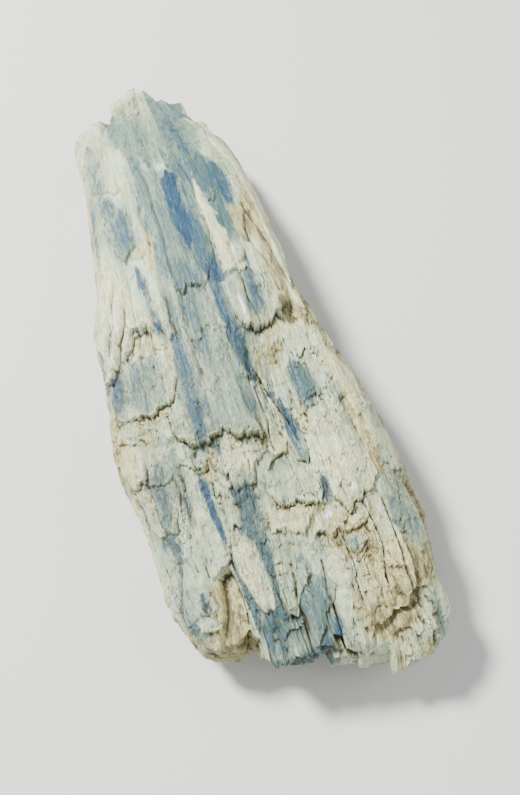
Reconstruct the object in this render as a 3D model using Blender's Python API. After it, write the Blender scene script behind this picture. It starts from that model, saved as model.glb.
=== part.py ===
"""Kyanite blade cluster: one closed solid, lying on its flattest side.

Sizes are written in millimetres and turned into metres by MM. x runs across the blades, y along them from the
thick broken end (0) to the thin end, and z up from the surface that the cluster rests on. The finished solid
is moved so that its origin is the bottom centre of its box.
"""
import math
import random

import bmesh
import bpy
from mathutils import Vector

MM = 0.001
SEED = 10
FLAT_ANGLE = math.radians(0.6)  # faces that differ by less are joined
NODE = "kyanite_blades"
COLOUR = (0.60, 0.64, 0.62, 1.0)
ROUGHNESS = 0.5

# ---- The form of the whole cluster: profiles along y, as (y, value) ----------------------------------------
LEFT_EDGE = ((0, -22), (8, -26.5), (16, -29), (30, -29.6), (42, -31.6), (55, -33.6), (66, -33.2), (76, -31.8),
             (88, -31.8), (98, -29.3), (108, -27), (140, -23.6), (152, -24), (161, -25), (168, -22),
             (175, -13), (180, -5))
RIGHT_EDGE = ((0, 29), (10, 32.5), (18, 35.8), (28, 36.6), (40, 35.8), (62, 31.8), (75, 28), (86, 25.2),
              (96, 25.2), (110, 25.6), (135, 25.4), (150, 24.6), (162, 19), (172, 11.2), (180, 4))
SHOULDER = ((0, 24), (10, 28), (35, 29.5), (50, 27), (72, 23), (90, 20.5), (130, 19.5), (148, 15),
            (160, 10.5), (170, 6.5), (180, 1.5))
CREST = ((-8, 18), (0, 19.5), (12, 21.5), (30, 24.5), (50, 28), (78, 31), (110, 32), (138, 29), (165, 22.5),
         (182, 16))
UNDERSIDE = ((0, 5.5), (14, 3), (34, 1.0), (48, 0.5), (130, 0.5), (150, 1.8), (166, 4.5), (182, 8))
WIDEST_LEVEL = 0.38             # height of the widest line, as a share of the thickness
CORE_STATIONS = (5, 13, 24, 37, 52, 68, 84, 100, 116, 132, 146, 158, 167, 174)

# ---- How the blades lie on the core ------------------------------------------------------------------------
COVER = 2.6                     # how far the core stays below the tops of the blades
OVERLAP = 0.5                   # how far blades side by side reach into each other
EDGE_FALL = 4.0                 # how far the top falls from the crest to its long edges
SKIN_LIFT = 1.2                 # how far flank blades stand out of the core
WIDTH_SPREAD = (0.6, 1.45)      # a blade's width as a share of its band's mean
RIDGE_HEIGHT = (0.1, 0.45)      # the low ridge along a blade's outer face
RIDGE_PLACE = 0.25              # how far the ridge may lie from the blade's middle, as a share of its width
BLADE_FOOT = 0.88               # a blade's width at its foot, as a share of its width at the outer face
END_UNDERCUT = 0.6              # how much further back a blade's foot breaks off than its outer face
TOP_THICKNESS = (4.5, 6.0)
TOP_LEVEL = 0.5                 # how far neighbouring tops differ in height, up and down
TOP_ROLL = 0.07                 # sideways lean of a top blade's face, as a slope
SIDE_THICKNESS = 3.5
SIDE_RAGGED = 1.6
SIDE_TAPER = 0.8
SIDE_ROLL = 0.15
END_ROLL = 0.25

# Terraces of blades on top. Each has its near edge and its far edge as (x, y) points, the height of its top
# at both, the mean blade width, and how unevenly the blades end.
TERRACES = (
    ("far_tip", ((-14, 139), (19, 132)), ((-13, 170), (-8, 177), (-3, 179.5), (2, 177), (6, 170)), 29.6, 17.4,
     4.2, 1.2),
    ("far_blade", ((-13, 90), (-9, 88), (0, 87), (7, 92), (18, 97)), ((-14, 142), (19, 135)), 32.2, 29.6, 4.6,
     1.2),
    ("far_left_blade", ((-24.8, 106), (-15, 108)), ((-24.6, 158), (-20, 162), (-15, 164)), 28.6, 22.4, 3.6,
     1.0),
    ("spine", ((-13, 49), (-9.5, 49.5), (-4, 48.5), (3, 47)), ((-13, 95), (3.5, 93)), 30.0, 31.8, 3.6, 1.1),
    ("splinters", ((-30, 71), (-25, 75), (-21, 80), (-15, 82)), ((-25, 108), (-14, 113)), 28.4, 30.4, 2.6,
     2.2),
    ("right_plate", ((3.5, 72), (8, 71.5), (13, 75), (18.5, 80)), ((3, 96), (19, 101)), 31.6, 32.2, 4.4, 0.6),
    ("cream_blade", ((7, 66.5), (19, 67.5)), ((8, 78), (19.5, 84)), 28.0, 28.6, 3.6, 0.6),
    ("oval_plate", ((-31, 62), (-24, 59), (-19, 58.5), (-13, 63)), ((-29, 76), (-13, 80)), 26.4, 27.0, 5.4,
     0.5),
    ("left_crumble", ((-31.6, 54), (-17, 52)), ((-31, 63), (-15, 62)), 24.4, 25.0, 3.0, 1.0),
    ("right_band", ((4.5, 49), (10, 52), (18, 50), (25, 52)), ((5, 73), (23, 72)), 26.8, 27.6, 4.2, 1.4),
    ("left_band", ((-29, 30), (-24, 29), (-13, 43)), ((-31.6, 57), (-13, 55)), 22.4, 25.6, 3.6, 2.0),
    ("centre_plate", ((-9, 36), (-6, 33.8), (-2.5, 35.5), (3, 40)), ((-12, 54), (4, 52)), 26.6, 27.2, 3.6,
     0.8),
    ("right_ledge", ((0, 31.3), (5, 30.5), (11, 29.5), (13.5, 26.5), (19, 27.5), (28, 30)),
     ((0, 54), (27, 54)), 25.2, 26.4, 4.4, 0.9),
    ("cream_plate", ((-3, 25), (5, 22), (10, 23.5), (14, 22.8)), ((-3, 36), (14, 34)), 23.6, 24.2, 4.4, 0.6),
    ("grey_blade", ((-12, 9), (-7, 20), (-3, 22)), ((-13, 40), (-3, 38)), 21.2, 24.2, 3.4, 1.2),
    ("left_near", ((-25.6, 9), (-19, 18.5), (-13.5, 20)), ((-28.8, 34), (-13, 42)), 20.8, 23.0, 3.6, 1.6),
    ("right_near", ((9, 15), (17, 17), (30, 8)), ((10, 32), (29, 34)), 22.4, 24.0, 4.2, 1.2),
    ("near_middle", ((-12, -1), (-4, -2.5), (1, -0.5), (6, 2)), ((-12, 28), (6, 27)), 18.6, 22.2, 3.6, 0.9),
    ("near_right", ((6, -3), (13, 3), (21, 4), (27, -1)), ((6, 19), (29, 20)), 19.4, 21.2, 4.0, 0.8),
)

# Bands of blades on the sides and the underside. Each has the stretch of the section that it covers (numbers
# of the section's points, see core_section), its range along y, the blades' mean width and length, and their
# count.
SIDE_BANDS = (
    ("right_upper", (4, 6), (8, 172), 4.4, 40, 28),
    ("right_lower", (1, 4), (8, 170), 4.6, 40, 24),
    ("left_upper", (10, 12), (8, 168), 4.4, 40, 27),
    ("left_lower", (12, 15), (8, 168), 4.6, 40, 23),
    ("under_left", (14, 16), (10, 172), 6.5, 56, 12),
    ("under_right", (0, 2), (10, 172), 6.5, 56, 10),
)

# The broad blade face that the cluster rests on: x range and y range.
FOOT_X = (-12, 11)
FOOT_Y = (46, 128)
FOOT_LEVEL = -0.5
FOOT_THICKNESS = 4
FOOT_RAGGED = 3.0

# Blade ends that stand out of the broken near end: (x, z, near y). They run back into the core.
NEAR_END_BLADES = (
    (-21.5, 15.5, 9), (-22.0, 11.5, 8.5), (-18.8, 13.0, 5.5), (-19.0, 8.5, 6.0), (-16.0, 9.5, 7.0),
    (-9.5, 15.0, 2.0), (-9.0, 10.5, 1.6), (-4.5, 13.0, -1.8), (-3.5, 8.5, -0.4), (1.0, 14.5, -1.6),
    (2.0, 10.0, 0.2), (6.5, 13.0, -3.6), (7.5, 8.5, -3.0), (12.0, 12.5, -5.6), (13.0, 8.0, -4.8),
    (17.5, 12.8, -7.4), (18.5, 8.8, -6.6), (22.5, 13.5, -5.8), (23.0, 9.5, -4.6), (26.5, 14.0, -2.0),
    (27.5, 10.0, 0.0),
)
NEAR_END_ROOT_Y = 30
NEAR_END_RISE = (2.2, 3.6)      # from z to the blade's outer face, at its tip and at its root
NEAR_END_WIDTH = (6, 9)
NEAR_END_THICKNESS = (4, 5.5)
NEAR_END_RAGGED = 0.8

# The same for the thin end: (x, z, far y).
FAR_END_BLADES = (
    (-22.5, 13.5, 164), (-19.5, 10.0, 167), (-15.0, 14.0, 170), (-11.5, 10.5, 175), (-8.0, 14.5, 178.5),
    (-4.0, 10.5, 179), (0.0, 14.0, 178), (4.5, 10.0, 175), (9.5, 14.0, 170.5), (15.0, 11.0, 164.5),
)

FAR_END_ROOT_Y = 138
FAR_END_ROOT_X = (-18.5, 20.0)  # the roots spread between these
FAR_END_SPREAD = 1.25           # how much wider the roots lie than the tips
FAR_END_RISE = (1.5, 4.5)       # from z to the blade's outer face, at its tip and at its root
FAR_END_WIDTH = (5.5, 7.5)
FAR_END_THICKNESS = (3.5, 4.5)
FAR_END_TAPER = 0.7

# Broken pits: centre and half sizes.
PITS = (
    ((17.5, 0.5, 17.5), (5.5, 5.0, 2.6)),
    ((18.0, 77.5, 28.4), (2.6, 3.0, 2.6)),
    ((-13.2, 0.0, 12.0), (2.4, 7.5, 14.0)),
    ((-17.0, 9.0, 21.0), (4.0, 7.0, 2.6)),
)
PIT_SEGMENTS = 7
PIT_RINGS = 5

# The block that cuts the underside level: its size across, along and downwards.
FLOOR_CUTTER = (200, 500, 20)


def profile(points, y):
    """The value at y of a profile of straight pieces, held level past its ends."""
    if y <= points[0][0]:
        return points[0][1]
    for (y0, v0), (y1, v1) in zip(points, points[1:]):
        if y <= y1:
            return v0 + (v1 - v0) * (y - y0) / (y1 - y0)
    return points[-1][1]


def mix(a, b, share):
    return a + (b - a) * share


def top_fall(x, y):
    """How far the top has fallen at x from the crest, towards either long edge."""
    left = profile(LEFT_EDGE, y)
    right = profile(SHOULDER, y)
    middle = (left + right) / 2
    return EDGE_FALL * abs((x - middle) / (right - middle)) ** 3


def core_section(y):
    """The core's section at y as 16 points (x, z), anticlockwise seen from the near end.

    Points 0 to 1 are the underside, 2 to 5 the sloping right side, 6 to 10 the top, 11 to 13 the steep left
    side, and 14 to 15 the underside again. The shares between the edges are the same at every y.
    """
    left = profile(LEFT_EDGE, y) + SKIN_LIFT
    right = profile(RIGHT_EDGE, y) - SKIN_LIFT
    shoulder = profile(SHOULDER, y) - SKIN_LIFT
    top = profile(CREST, y) - COVER
    under = profile(UNDERSIDE, y)
    wide = mix(under, top, WIDEST_LEVEL)
    return (
        (mix(left, right, 0.55), under),
        (mix(left, right, 0.84), under),
        (mix(left, right, 0.96), mix(under, wide, 0.5)),
        (right, wide),
        (mix(right, shoulder, 0.35), mix(wide, top, 0.45)),
        (mix(right, shoulder, 0.8), mix(wide, top, 0.8)),
        (shoulder, top - 0.45 * EDGE_FALL),
        (mix(shoulder, left, 0.2), top - 0.1 * EDGE_FALL),
        (mix(shoulder, left, 0.5), top),
        (mix(shoulder, left, 0.8), top - 0.1 * EDGE_FALL),
        (left + 1.5, top - 0.5 * EDGE_FALL),
        (left + 0.4, mix(wide, top, 0.5)),
        (left, wide),
        (left + 1.6, mix(under, wide, 0.45)),
        (mix(left, right, 0.14), under),
        (mix(left, right, 0.3), under - 0.3),
    )


def to_mesh_object(name, bm):
    """A mesh object from bm, in triangles, because a twisted quad spoils a Boolean."""
    bmesh.ops.triangulate(bm, faces=bm.faces)
    bmesh.ops.recalc_face_normals(bm, faces=bm.faces)
    mesh = bpy.data.meshes.new(name)
    bm.to_mesh(mesh)
    bm.free()
    return bpy.data.objects.new(name, mesh)


def add_loft(bm, rings):
    """A closed loft through rings of points that have the same count."""
    loops = [[bm.verts.new(Vector(p) * MM) for p in ring] for ring in rings]
    count = len(loops[0])
    for ring_a, ring_b in zip(loops, loops[1:]):
        for i in range(count):
            j = (i + 1) % count
            bm.faces.new((ring_a[i], ring_a[j], ring_b[j], ring_b[i]))
    bm.faces.new(loops[0])
    bm.faces.new(loops[-1])


def make_core():
    bm = bmesh.new()
    add_loft(bm, [[(x, y, z) for x, z in core_section(y)] for y in CORE_STATIONS])
    return to_mesh_object("core", bm)


def add_blade(bm, near, far, outward, width, thickness, rng, ragged, taper=1.0):
    """A flat blade. near and far are the middles of its outer face at both ends.

    The outer face has a low ridge, and each of its long edges breaks off at its own place.
    """
    near = Vector(near)
    far = Vector(far)
    along = (far - near).normalized()
    outward = Vector(outward)
    outward = (outward - along * outward.dot(along)).normalized()
    across = along.cross(outward)
    ridge_place = rng.uniform(-RIDGE_PLACE, RIDGE_PLACE)
    ridge_height = rng.uniform(*RIDGE_HEIGHT)
    foot = BLADE_FOOT / 2
    section = ((-0.5, 0), (ridge_place, ridge_height), (0.5, 0), (foot, -thickness), (-foot, -thickness))
    rings = []
    for end, direction, scale in ((near, -1, 1.0), (far, 1, taper)):
        skew = rng.uniform(-ragged, ragged)
        tooth = rng.uniform(-0.6, 0.6) * ragged
        reach = (skew, tooth, -skew, -skew - END_UNDERCUT, skew - END_UNDERCUT)
        rings.append([
            end + across * (s * width * scale) + outward * h + along * (direction * r)
            for (s, h), r in zip(section, reach)
        ])
    add_loft(bm, rings)


def add_terrace(bm, near_edge, far_edge, top_near, top_far, blade_width, ragged, rng):
    """Blades side by side from the near edge to the far edge, each with its own height and ends."""
    left, right = near_edge[0][0], near_edge[-1][0]
    far_left, far_right = far_edge[0][0], far_edge[-1][0]
    narrowest = 0.4 * blade_width
    least_taper = 0.35
    x = left
    while x < right - narrowest:
        width = min(blade_width * rng.uniform(*WIDTH_SPREAD), right - x)
        share = (x + width / 2 - left) / (right - left)
        near_x = x + width / 2
        far_x = mix(far_left, far_right, share)
        near_y = profile(near_edge, near_x) + rng.uniform(-ragged, ragged)
        far_y = profile(far_edge, far_x) + rng.uniform(-ragged, ragged)
        level = rng.uniform(-TOP_LEVEL, TOP_LEVEL)
        near = (near_x, near_y, top_near - top_fall(near_x, near_y) + level)
        far = (far_x, far_y, top_far - top_fall(far_x, far_y) + level / 2)
        slope = (top_fall(near_x + 1, near_y) - top_fall(near_x - 1, near_y)) / 2
        outward = (slope + rng.uniform(-TOP_ROLL, TOP_ROLL), 0, 1)
        near_width = width + 2 * OVERLAP
        far_width = (width + OVERLAP) * (far_right - far_left) / (right - left)
        add_blade(bm, near, far, outward, near_width, rng.uniform(*TOP_THICKNESS), rng, ragged / 2,
                  taper=max(least_taper, far_width / near_width))
        x += width


def add_side_band(bm, section_range, y_range, blade_width, blade_length, count, rng):
    """Blades along the core's skin, over one stretch of its section."""
    for _ in range(count):
        length = blade_length * rng.uniform(0.5, 1.5)
        start = rng.uniform(y_range[0], y_range[1] - 0.7 * length)
        stop = min(start + length, y_range[1])
        place = rng.uniform(*section_range)
        edge = min(int(place), section_range[1] - 1)
        ends = []
        for y in (start, stop):
            section = core_section(y)
            a = section[edge]
            b = section[(edge + 1) % len(section)]
            ends.append((mix(a[0], b[0], place - edge), y, mix(a[1], b[1], place - edge)))
            chord = Vector((b[0] - a[0], 0, b[1] - a[1]))
        outward = Vector((chord.z, 0, -chord.x)).normalized()
        lift = rng.uniform(0.25, 1.0) * SKIN_LIFT
        near = Vector(ends[0]) + outward * lift
        far = Vector(ends[1]) + outward * lift * rng.uniform(-0.2, 1.0)
        turned = outward + Vector((rng.uniform(-SIDE_ROLL, SIDE_ROLL), 0, rng.uniform(-SIDE_ROLL, SIDE_ROLL)))
        width = blade_width * rng.uniform(*WIDTH_SPREAD)
        add_blade(bm, near, far, turned, width, SIDE_THICKNESS, rng, SIDE_RAGGED, taper=SIDE_TAPER)


def add_near_end(bm, rng):
    """Blade ends that stand out of the broken end at different lengths."""
    for x, z, near_y in NEAR_END_BLADES:
        near = (x, near_y, z + NEAR_END_RISE[0])
        far = (x, NEAR_END_ROOT_Y, z + NEAR_END_RISE[1])
        outward = (rng.uniform(-END_ROLL, END_ROLL), 0, 1)
        width = rng.uniform(*NEAR_END_WIDTH)
        add_blade(bm, near, far, outward, width, rng.uniform(*NEAR_END_THICKNESS), rng, NEAR_END_RAGGED)


def add_far_end(bm, rng):
    """Blade ends that stand out of the thin end, closing towards its tip."""
    for x, z, far_y in FAR_END_BLADES:
        root_x = max(FAR_END_ROOT_X[0], min(FAR_END_ROOT_X[1], FAR_END_SPREAD * x))
        near = (root_x, FAR_END_ROOT_Y, z + FAR_END_RISE[1])
        far = (x, far_y, z + FAR_END_RISE[0])
        outward = (rng.uniform(-END_ROLL, END_ROLL), 0, 1)
        width = rng.uniform(*FAR_END_WIDTH)
        add_blade(bm, near, far, outward, width, rng.uniform(*FAR_END_THICKNESS), rng, NEAR_END_RAGGED,
                  taper=FAR_END_TAPER)


def add_foot(bm, rng):
    """The broad blade whose outer face is cut level to rest on."""
    x = (FOOT_X[0] + FOOT_X[1]) / 2
    near = (x, FOOT_Y[0], FOOT_LEVEL)
    far = (x, FOOT_Y[1], FOOT_LEVEL)
    add_blade(bm, near, far, (0, 0, -1), FOOT_X[1] - FOOT_X[0], FOOT_THICKNESS, rng, FOOT_RAGGED)


def add_pit(bm, centre, half_size):
    pit = bmesh.ops.create_uvsphere(bm, u_segments=PIT_SEGMENTS, v_segments=PIT_RINGS, radius=MM)
    bmesh.ops.scale(bm, verts=pit["verts"], vec=Vector(half_size))
    bmesh.ops.translate(bm, verts=pit["verts"], vec=Vector(centre) * MM)


def make_pits():
    bm = bmesh.new()
    for centre, half_size in PITS:
        add_pit(bm, centre, half_size)
    return to_mesh_object("pits", bm)


def make_blades():
    """The top, side and end blades, one object each."""
    rng = random.Random(SEED)
    top, sides, end = (bmesh.new() for _ in range(3))
    for _, near_edge, far_edge, top_near, top_far, blade_width, ragged in TERRACES:
        add_terrace(top, near_edge, far_edge, top_near, top_far, blade_width, ragged, rng)
    for _, section_range, y_range, blade_width, blade_length, count in SIDE_BANDS:
        add_side_band(sides, section_range, y_range, blade_width, blade_length, count, rng)
    add_near_end(end, rng)
    add_far_end(end, rng)
    add_foot(end, rng)
    return [
        to_mesh_object("top_blades", top),
        to_mesh_object("side_blades", sides),
        to_mesh_object("end_blades", end),
    ]


def make_floor_cutter():
    """A block below the surface that the cluster rests on."""
    width, length, depth = (size * MM for size in FLOOR_CUTTER)
    bpy.ops.mesh.primitive_cube_add(size=1, location=(0, 0, -depth / 2))
    cutter = bpy.context.object
    cutter.name = "floor_cutter"
    cutter.scale = (width, length, depth)
    return cutter


def hide_helper(obj, collection):
    for owner in list(obj.users_collection):
        owner.objects.unlink(obj)
    collection.objects.link(obj)
    obj.hide_render = True
    obj.display_type = "WIRE"


def add_boolean(obj, name, operation, operand, use_self=False):
    modifier = obj.modifiers.new(name, "BOOLEAN")
    modifier.operation = operation
    modifier.solver = "EXACT"
    modifier.object = operand
    modifier.use_self = use_self


def evaluated_bmesh(obj):
    bpy.context.view_layer.update()
    depsgraph = bpy.context.evaluated_depsgraph_get()
    mesh = bpy.data.meshes.new_from_object(obj.evaluated_get(depsgraph))
    bm = bmesh.new()
    bm.from_mesh(mesh)
    bpy.data.meshes.remove(mesh)
    return bm


def keep_largest_body(bm):
    """Delete the specks that the unions leave inside or beside the cluster."""
    unseen = set(bm.verts)
    bodies = []
    while unseen:
        body = {unseen.pop()}
        front = list(body)
        while front:
            vert = front.pop()
            for edge in vert.link_edges:
                other = edge.other_vert(vert)
                if other in unseen:
                    unseen.remove(other)
                    body.add(other)
                    front.append(other)
        bodies.append(body)
    bodies.sort(key=len)
    specks = [vert for body in bodies[:-1] for vert in body]
    bmesh.ops.delete(bm, geom=specks, context="VERTS")


def clean(bm):
    """Leave one body in triangles, with the origin at the bottom centre of its box."""
    keep_largest_body(bm)
    bmesh.ops.dissolve_limit(bm, angle_limit=FLAT_ANGLE, verts=bm.verts, edges=bm.edges)
    bmesh.ops.triangulate(bm, faces=bm.faces)
    low = [min(v.co[i] for v in bm.verts) for i in range(3)]
    high = [max(v.co[i] for v in bm.verts) for i in range(3)]
    origin = Vector(((low[0] + high[0]) / 2, (low[1] + high[1]) / 2, low[2]))
    bmesh.ops.translate(bm, verts=bm.verts, vec=-origin)


def make_material():
    material = bpy.data.materials.new("kyanite")
    material.use_nodes = True
    shader = material.node_tree.nodes["Principled BSDF"]
    shader.inputs["Base Color"].default_value = COLOUR
    shader.inputs["Roughness"].default_value = ROUGHNESS
    shader.inputs["Metallic"].default_value = 0.0
    return material


def main():
    for obj in list(bpy.data.objects):
        bpy.data.objects.remove(obj)
    parts = bpy.data.collections.new("kyanite blade cluster")
    helpers = bpy.data.collections.new("helpers")
    for collection in (parts, helpers):
        bpy.context.scene.collection.children.link(collection)

    core = make_core()
    blades = make_blades()
    cutters = [make_pits(), make_floor_cutter()]
    for helper in (core, *cutters, *blades):
        hide_helper(helper, helpers)
    for group in blades:
        add_boolean(core, group.name, "UNION", group, use_self=True)
    for cutter in cutters:
        add_boolean(core, cutter.name, "DIFFERENCE", cutter)

    bm = evaluated_bmesh(core)
    core.modifiers.clear()
    clean(bm)
    cluster = to_mesh_object(NODE, bm)
    cluster.data.materials.append(make_material())
    parts.objects.link(cluster)


main()
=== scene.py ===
"""Looks of the kyanite blade cluster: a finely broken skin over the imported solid, its stone and its light.

Sizes are in millimetres in the cluster's own plan: x across the blades, y along them from the thick broken
end (0) to the thin end (about 178), z up from the table. MM and CENTRE turn them into the frame's metres.
"""
import math
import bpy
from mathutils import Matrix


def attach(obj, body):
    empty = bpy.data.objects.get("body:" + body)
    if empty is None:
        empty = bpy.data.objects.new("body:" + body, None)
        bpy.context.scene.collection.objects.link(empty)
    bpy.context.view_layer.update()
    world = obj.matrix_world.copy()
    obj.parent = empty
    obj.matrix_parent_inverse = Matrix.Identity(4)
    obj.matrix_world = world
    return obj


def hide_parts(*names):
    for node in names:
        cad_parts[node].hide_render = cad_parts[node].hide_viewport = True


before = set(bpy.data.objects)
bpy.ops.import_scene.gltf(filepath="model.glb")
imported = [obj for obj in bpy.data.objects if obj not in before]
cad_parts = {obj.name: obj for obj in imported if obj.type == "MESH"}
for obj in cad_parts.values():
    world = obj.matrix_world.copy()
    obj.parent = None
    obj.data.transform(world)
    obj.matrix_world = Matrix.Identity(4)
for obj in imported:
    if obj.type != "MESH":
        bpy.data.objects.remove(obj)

from types import SimpleNamespace

import bpy
import numpy as np
from mathutils import Euler, Vector
from mathutils.bvhtree import BVHTree

NODE = "kyanite_blades"
SKIN = "kyanite_skin"
MM = 0.001
CENTRE = np.array([0.82, 85.99, 0.0])       # the middle of the CAD box, in the plan above
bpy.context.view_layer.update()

# ---- The photo's camera, worked out from the stone's outline ----
PHOTO_MIDDLE = (260, 397.5)                 # pixels
PHOTO_FOCAL = 800                           # pixels
PHOTO_PLACE = (-22.443, -32.441, 186.0)     # in the plan
PHOTO_TURN = math.radians(-16.532)          # how far it is turned from straight along the blades
CAMERA_DOWN = math.radians(60)              # how far the view tips below level
CAMERA_PLACE = (-22.44, -32.44, 186.0)      # the render's camera, rounded
CAMERA_TURN = math.radians(-16.5)
CAMERA_LENS = 36.0 * 800 / 795              # focal length for a 36 mm long side
BESIDE_LEVEL = 14                           # mm, the height taken for a picked place just beside the solid

# ---- The skin's grid: a medial strip inside the solid, from which rays go out to the surface ----
# y, left end x, right end x, z
MEDIAL = (
    (12, -14, 17, 11.5), (40, -19, 20, 12.5), (62, -21, 18, 13.5), (90, -19, 14, 15), (130, -12, 13, 15),
    (150, -11, 10, 13.5), (164, -8, 6, 12.5),
)
ROW_STEPS = ((0, 0.30), (52, 0.31), (80, 0.50), (180, 0.52))   # y and the mm between rows there
LEAST_ROW_STEP = 0.15                       # mm, for rows that crowd on the ends
CAP_ROWS = 46
TOP_COLUMNS = 216
RIGHT_COLUMNS = 78
LEFT_COLUMNS = 64
TOP_LEAN = math.radians(28)                 # how far the outermost top rays lean outwards
RAY_START = 90.0                            # rays come in from this far
MISSED = 1.0                                # mm, the distance where a ray finds nothing
LOWEST = 0.02                               # mm above the table
MAX_TRIANGLES = 196000
FINE_UP_TO = 60.0                           # y up to which the top keeps all its triangles
FINE_FACING = 0.30                          # for rays that point up at least this much
SHARP_ANGLE = math.radians(38)

# ---- Where a place counts as what: the two ends of a smooth step ----
TOP_FACING = (0.15, 0.6)                    # by how far up its ray points
FLANK_FACING = (-0.75, -0.45)
UNDER_FACING = (0.5, 0.95)                  # by how far down it points
BODY_NEAR = (4, 10)                         # this and the rest by y
BODY_FAR = (152, 162)
NEAR_FACE = (1, 5)
NEAR_TIP = (1, 6)
NEAR_HALF = (70, 100)
FAR_CALM = (156, 168)
FAR_TIP = (158, 168)

# ---- How the solid's surface is changed before it is broken up ----
CALM_CELLS = 12                             # cells over which the solid's steps are smoothed away
CALM_SHARE = 0.97
DEEP_BREAKS = ((18, 77.5, 4, 4.5), (-16.5, 9, 5, 9))   # x, y, half sizes: here the solid's steps stay
DEEP_EASE = 0.4
DEEP_BLUR = (3, 4)                          # rows and columns of the light smoothing there
DEEP_CALM = 0.8
BREAKS_HELD = SimpleNamespace(deep=0.8, near=0.5, far=0.97)   # shares of their wandering that breaks lack
SIDE_WANDER = 1.6                           # columns by which the solid's long edges are made to wander
LUMPS = SimpleNamespace(height=1.1, y=(2, 8), x=(4, 14), across=3.0, level=2.4)   # mm, on the near end
# The solid's pit in the near right corner is closed: rows up to this y, x, facing, and cells.
PIT = SimpleNamespace(rows_to=14, x=(6, 10), facing=-0.9, reach=22, blur=5)
# How far the sides stand out beyond the solid's: y, then mm on the left and on the right. The values are
# differences measured between the photo's outline and a render's, rounded and in part adjusted by eye.
SIDE_FIT = (
    (0, 0, 0), (8, 0, -0.5), (16, 0.7, 0.7), (24, -0.7, 0.9), (32, -1, 0.6), (40, -0.8, 0.9),
    (48, 0.4, 1.1), (56, 0.3, 0.85), (64, -0.5, -0.1), (72, -0.5, -0.55), (80, -0.55, -0.85),
    (88, 0.5, -1.5),
    (96, -0.8, -0.85), (104, -1.2, -0.35), (112, -0.9, -0.2), (120, -0.7, 0.3), (128, -0.35, -0.2),
    (144, -0.1, 0.4), (152, 0.3, 0.9), (160, -0.4, 0.5), (166, -3.2, 0.5), (174, -2.4, 0.4), (182, -0.9, 1),
)
# The same for the two ends: x, then mm at the far end and at the near end.
END_FIT = (
    (-26, -4.6, 0.6), (-16, -4, 0.4), (-12, -2.2, -0.8), (-7, -1, -0.9), (-2, 0, 0), (2, 1.2, 0.6),
    (8, 0.8, 0.5), (16, 0.8, 0.8), (24, 0.8, 0.8), (30, 0.8, -0.5),
)


def interpolate(table, y, column):
    """A column of a hand-made table at y, straight between its rows."""
    rows = np.array(table, float)
    return np.interp(y, rows[:, 0], rows[:, column])


# ---- Numbers that look random but are the same each run ----
# A seed follows the two places in a call.
def hash01(i, j, seed):
    """A fixed number from 0 to 1 for each pair of whole numbers."""
    with np.errstate(over="ignore"):
        h = (np.asarray(i).astype(np.int64).astype(np.uint64) * np.uint64(0x9E3779B97F4A7C15)
             ^ (np.asarray(j).astype(np.int64).astype(np.uint64) * np.uint64(0xC2B2AE3D27D4EB4F))
             ^ np.uint64(seed * 0x165667B19E3779F9 & 0xFFFFFFFFFFFFFFFF))
        h ^= h >> np.uint64(29)
        h *= np.uint64(0xBF58476D1CE4E5B9)
        h ^= h >> np.uint64(32)
        h *= np.uint64(0x94D049BB133111EB)
        h ^= h >> np.uint64(29)
    return (h >> np.uint64(11)).astype(np.float64) / float(1 << 53)


def noise(a, b, seed):
    """Smooth value noise from -1 to 1."""
    ia, ib = np.floor(a), np.floor(b)
    fa, fb = a - ia, b - ib
    fa, fb = fa * fa * (3 - 2 * fa), fb * fb * (3 - 2 * fb)
    low = hash01(ia, ib, seed) * (1 - fa) + hash01(ia + 1, ib, seed) * fa
    high = hash01(ia, ib + 1, seed) * (1 - fa) + hash01(ia + 1, ib + 1, seed) * fa
    return (low * (1 - fb) + high * fb) * 2 - 1


def cloud(a, b, seed, octaves=4):
    """Noise from -1 to 1 with finer and fainter octaves on it."""
    total = 0.0
    for k in range(octaves):
        total = total + noise(a * 2 ** k, b * 2 ** k, seed + k) / 2 ** k
    return total / (2 - 2.0 ** (1 - octaves))


def smooth(low, high, value):
    """0 up to low, 1 from high on, and a smooth step between."""
    t = np.clip((value - low) / (high - low), 0, 1)
    return t * t * (3 - 2 * t)


# ---- The grid ----
def column_layout():
    """For each column round the section: its share along the medial strip and its ray's angle."""
    share = np.linspace(0, 1, TOP_COLUMNS)
    lean = TOP_LEAN * (1 - 2 * share) * np.abs(1 - 2 * share)
    top = math.pi / 2 + lean
    right = np.linspace(top[-1], -top[-1], RIGHT_COLUMNS + 2)[1:-1]
    bottom = -top[::-1]
    left = np.linspace(-top[0], top[0] - 2 * math.pi, LEFT_COLUMNS + 2)[1:-1]
    shares = np.concatenate([share, np.ones(RIGHT_COLUMNS), share[::-1], np.zeros(LEFT_COLUMNS)])
    return shares, np.concatenate([top, right, bottom, left])


def row_layout():
    """For each row: its place on the medial strip and how far its rays tip over the end."""
    y0, y1 = MEDIAL[0][0], MEDIAL[-1][0]
    body = [y0]
    while body[-1] < y1:
        body.append(body[-1] + interpolate(ROW_STEPS, body[-1], 1))
    tip = np.linspace(0, math.pi / 2, CAP_ROWS + 1)[1:]
    y = np.concatenate([np.full(CAP_ROWS, y0), body, np.full(CAP_ROWS, y1)])
    return y, np.concatenate([-tip[::-1], np.zeros(len(body)), tip])


def in_frame(place):
    return Vector((np.array(place) - CENTRE) * MM)


def solid_tree():
    """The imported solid, ready for rays."""
    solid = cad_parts[NODE].data
    return BVHTree.FromPolygons([v.co for v in solid.vertices], [p.vertices[:] for p in solid.polygons])


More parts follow.
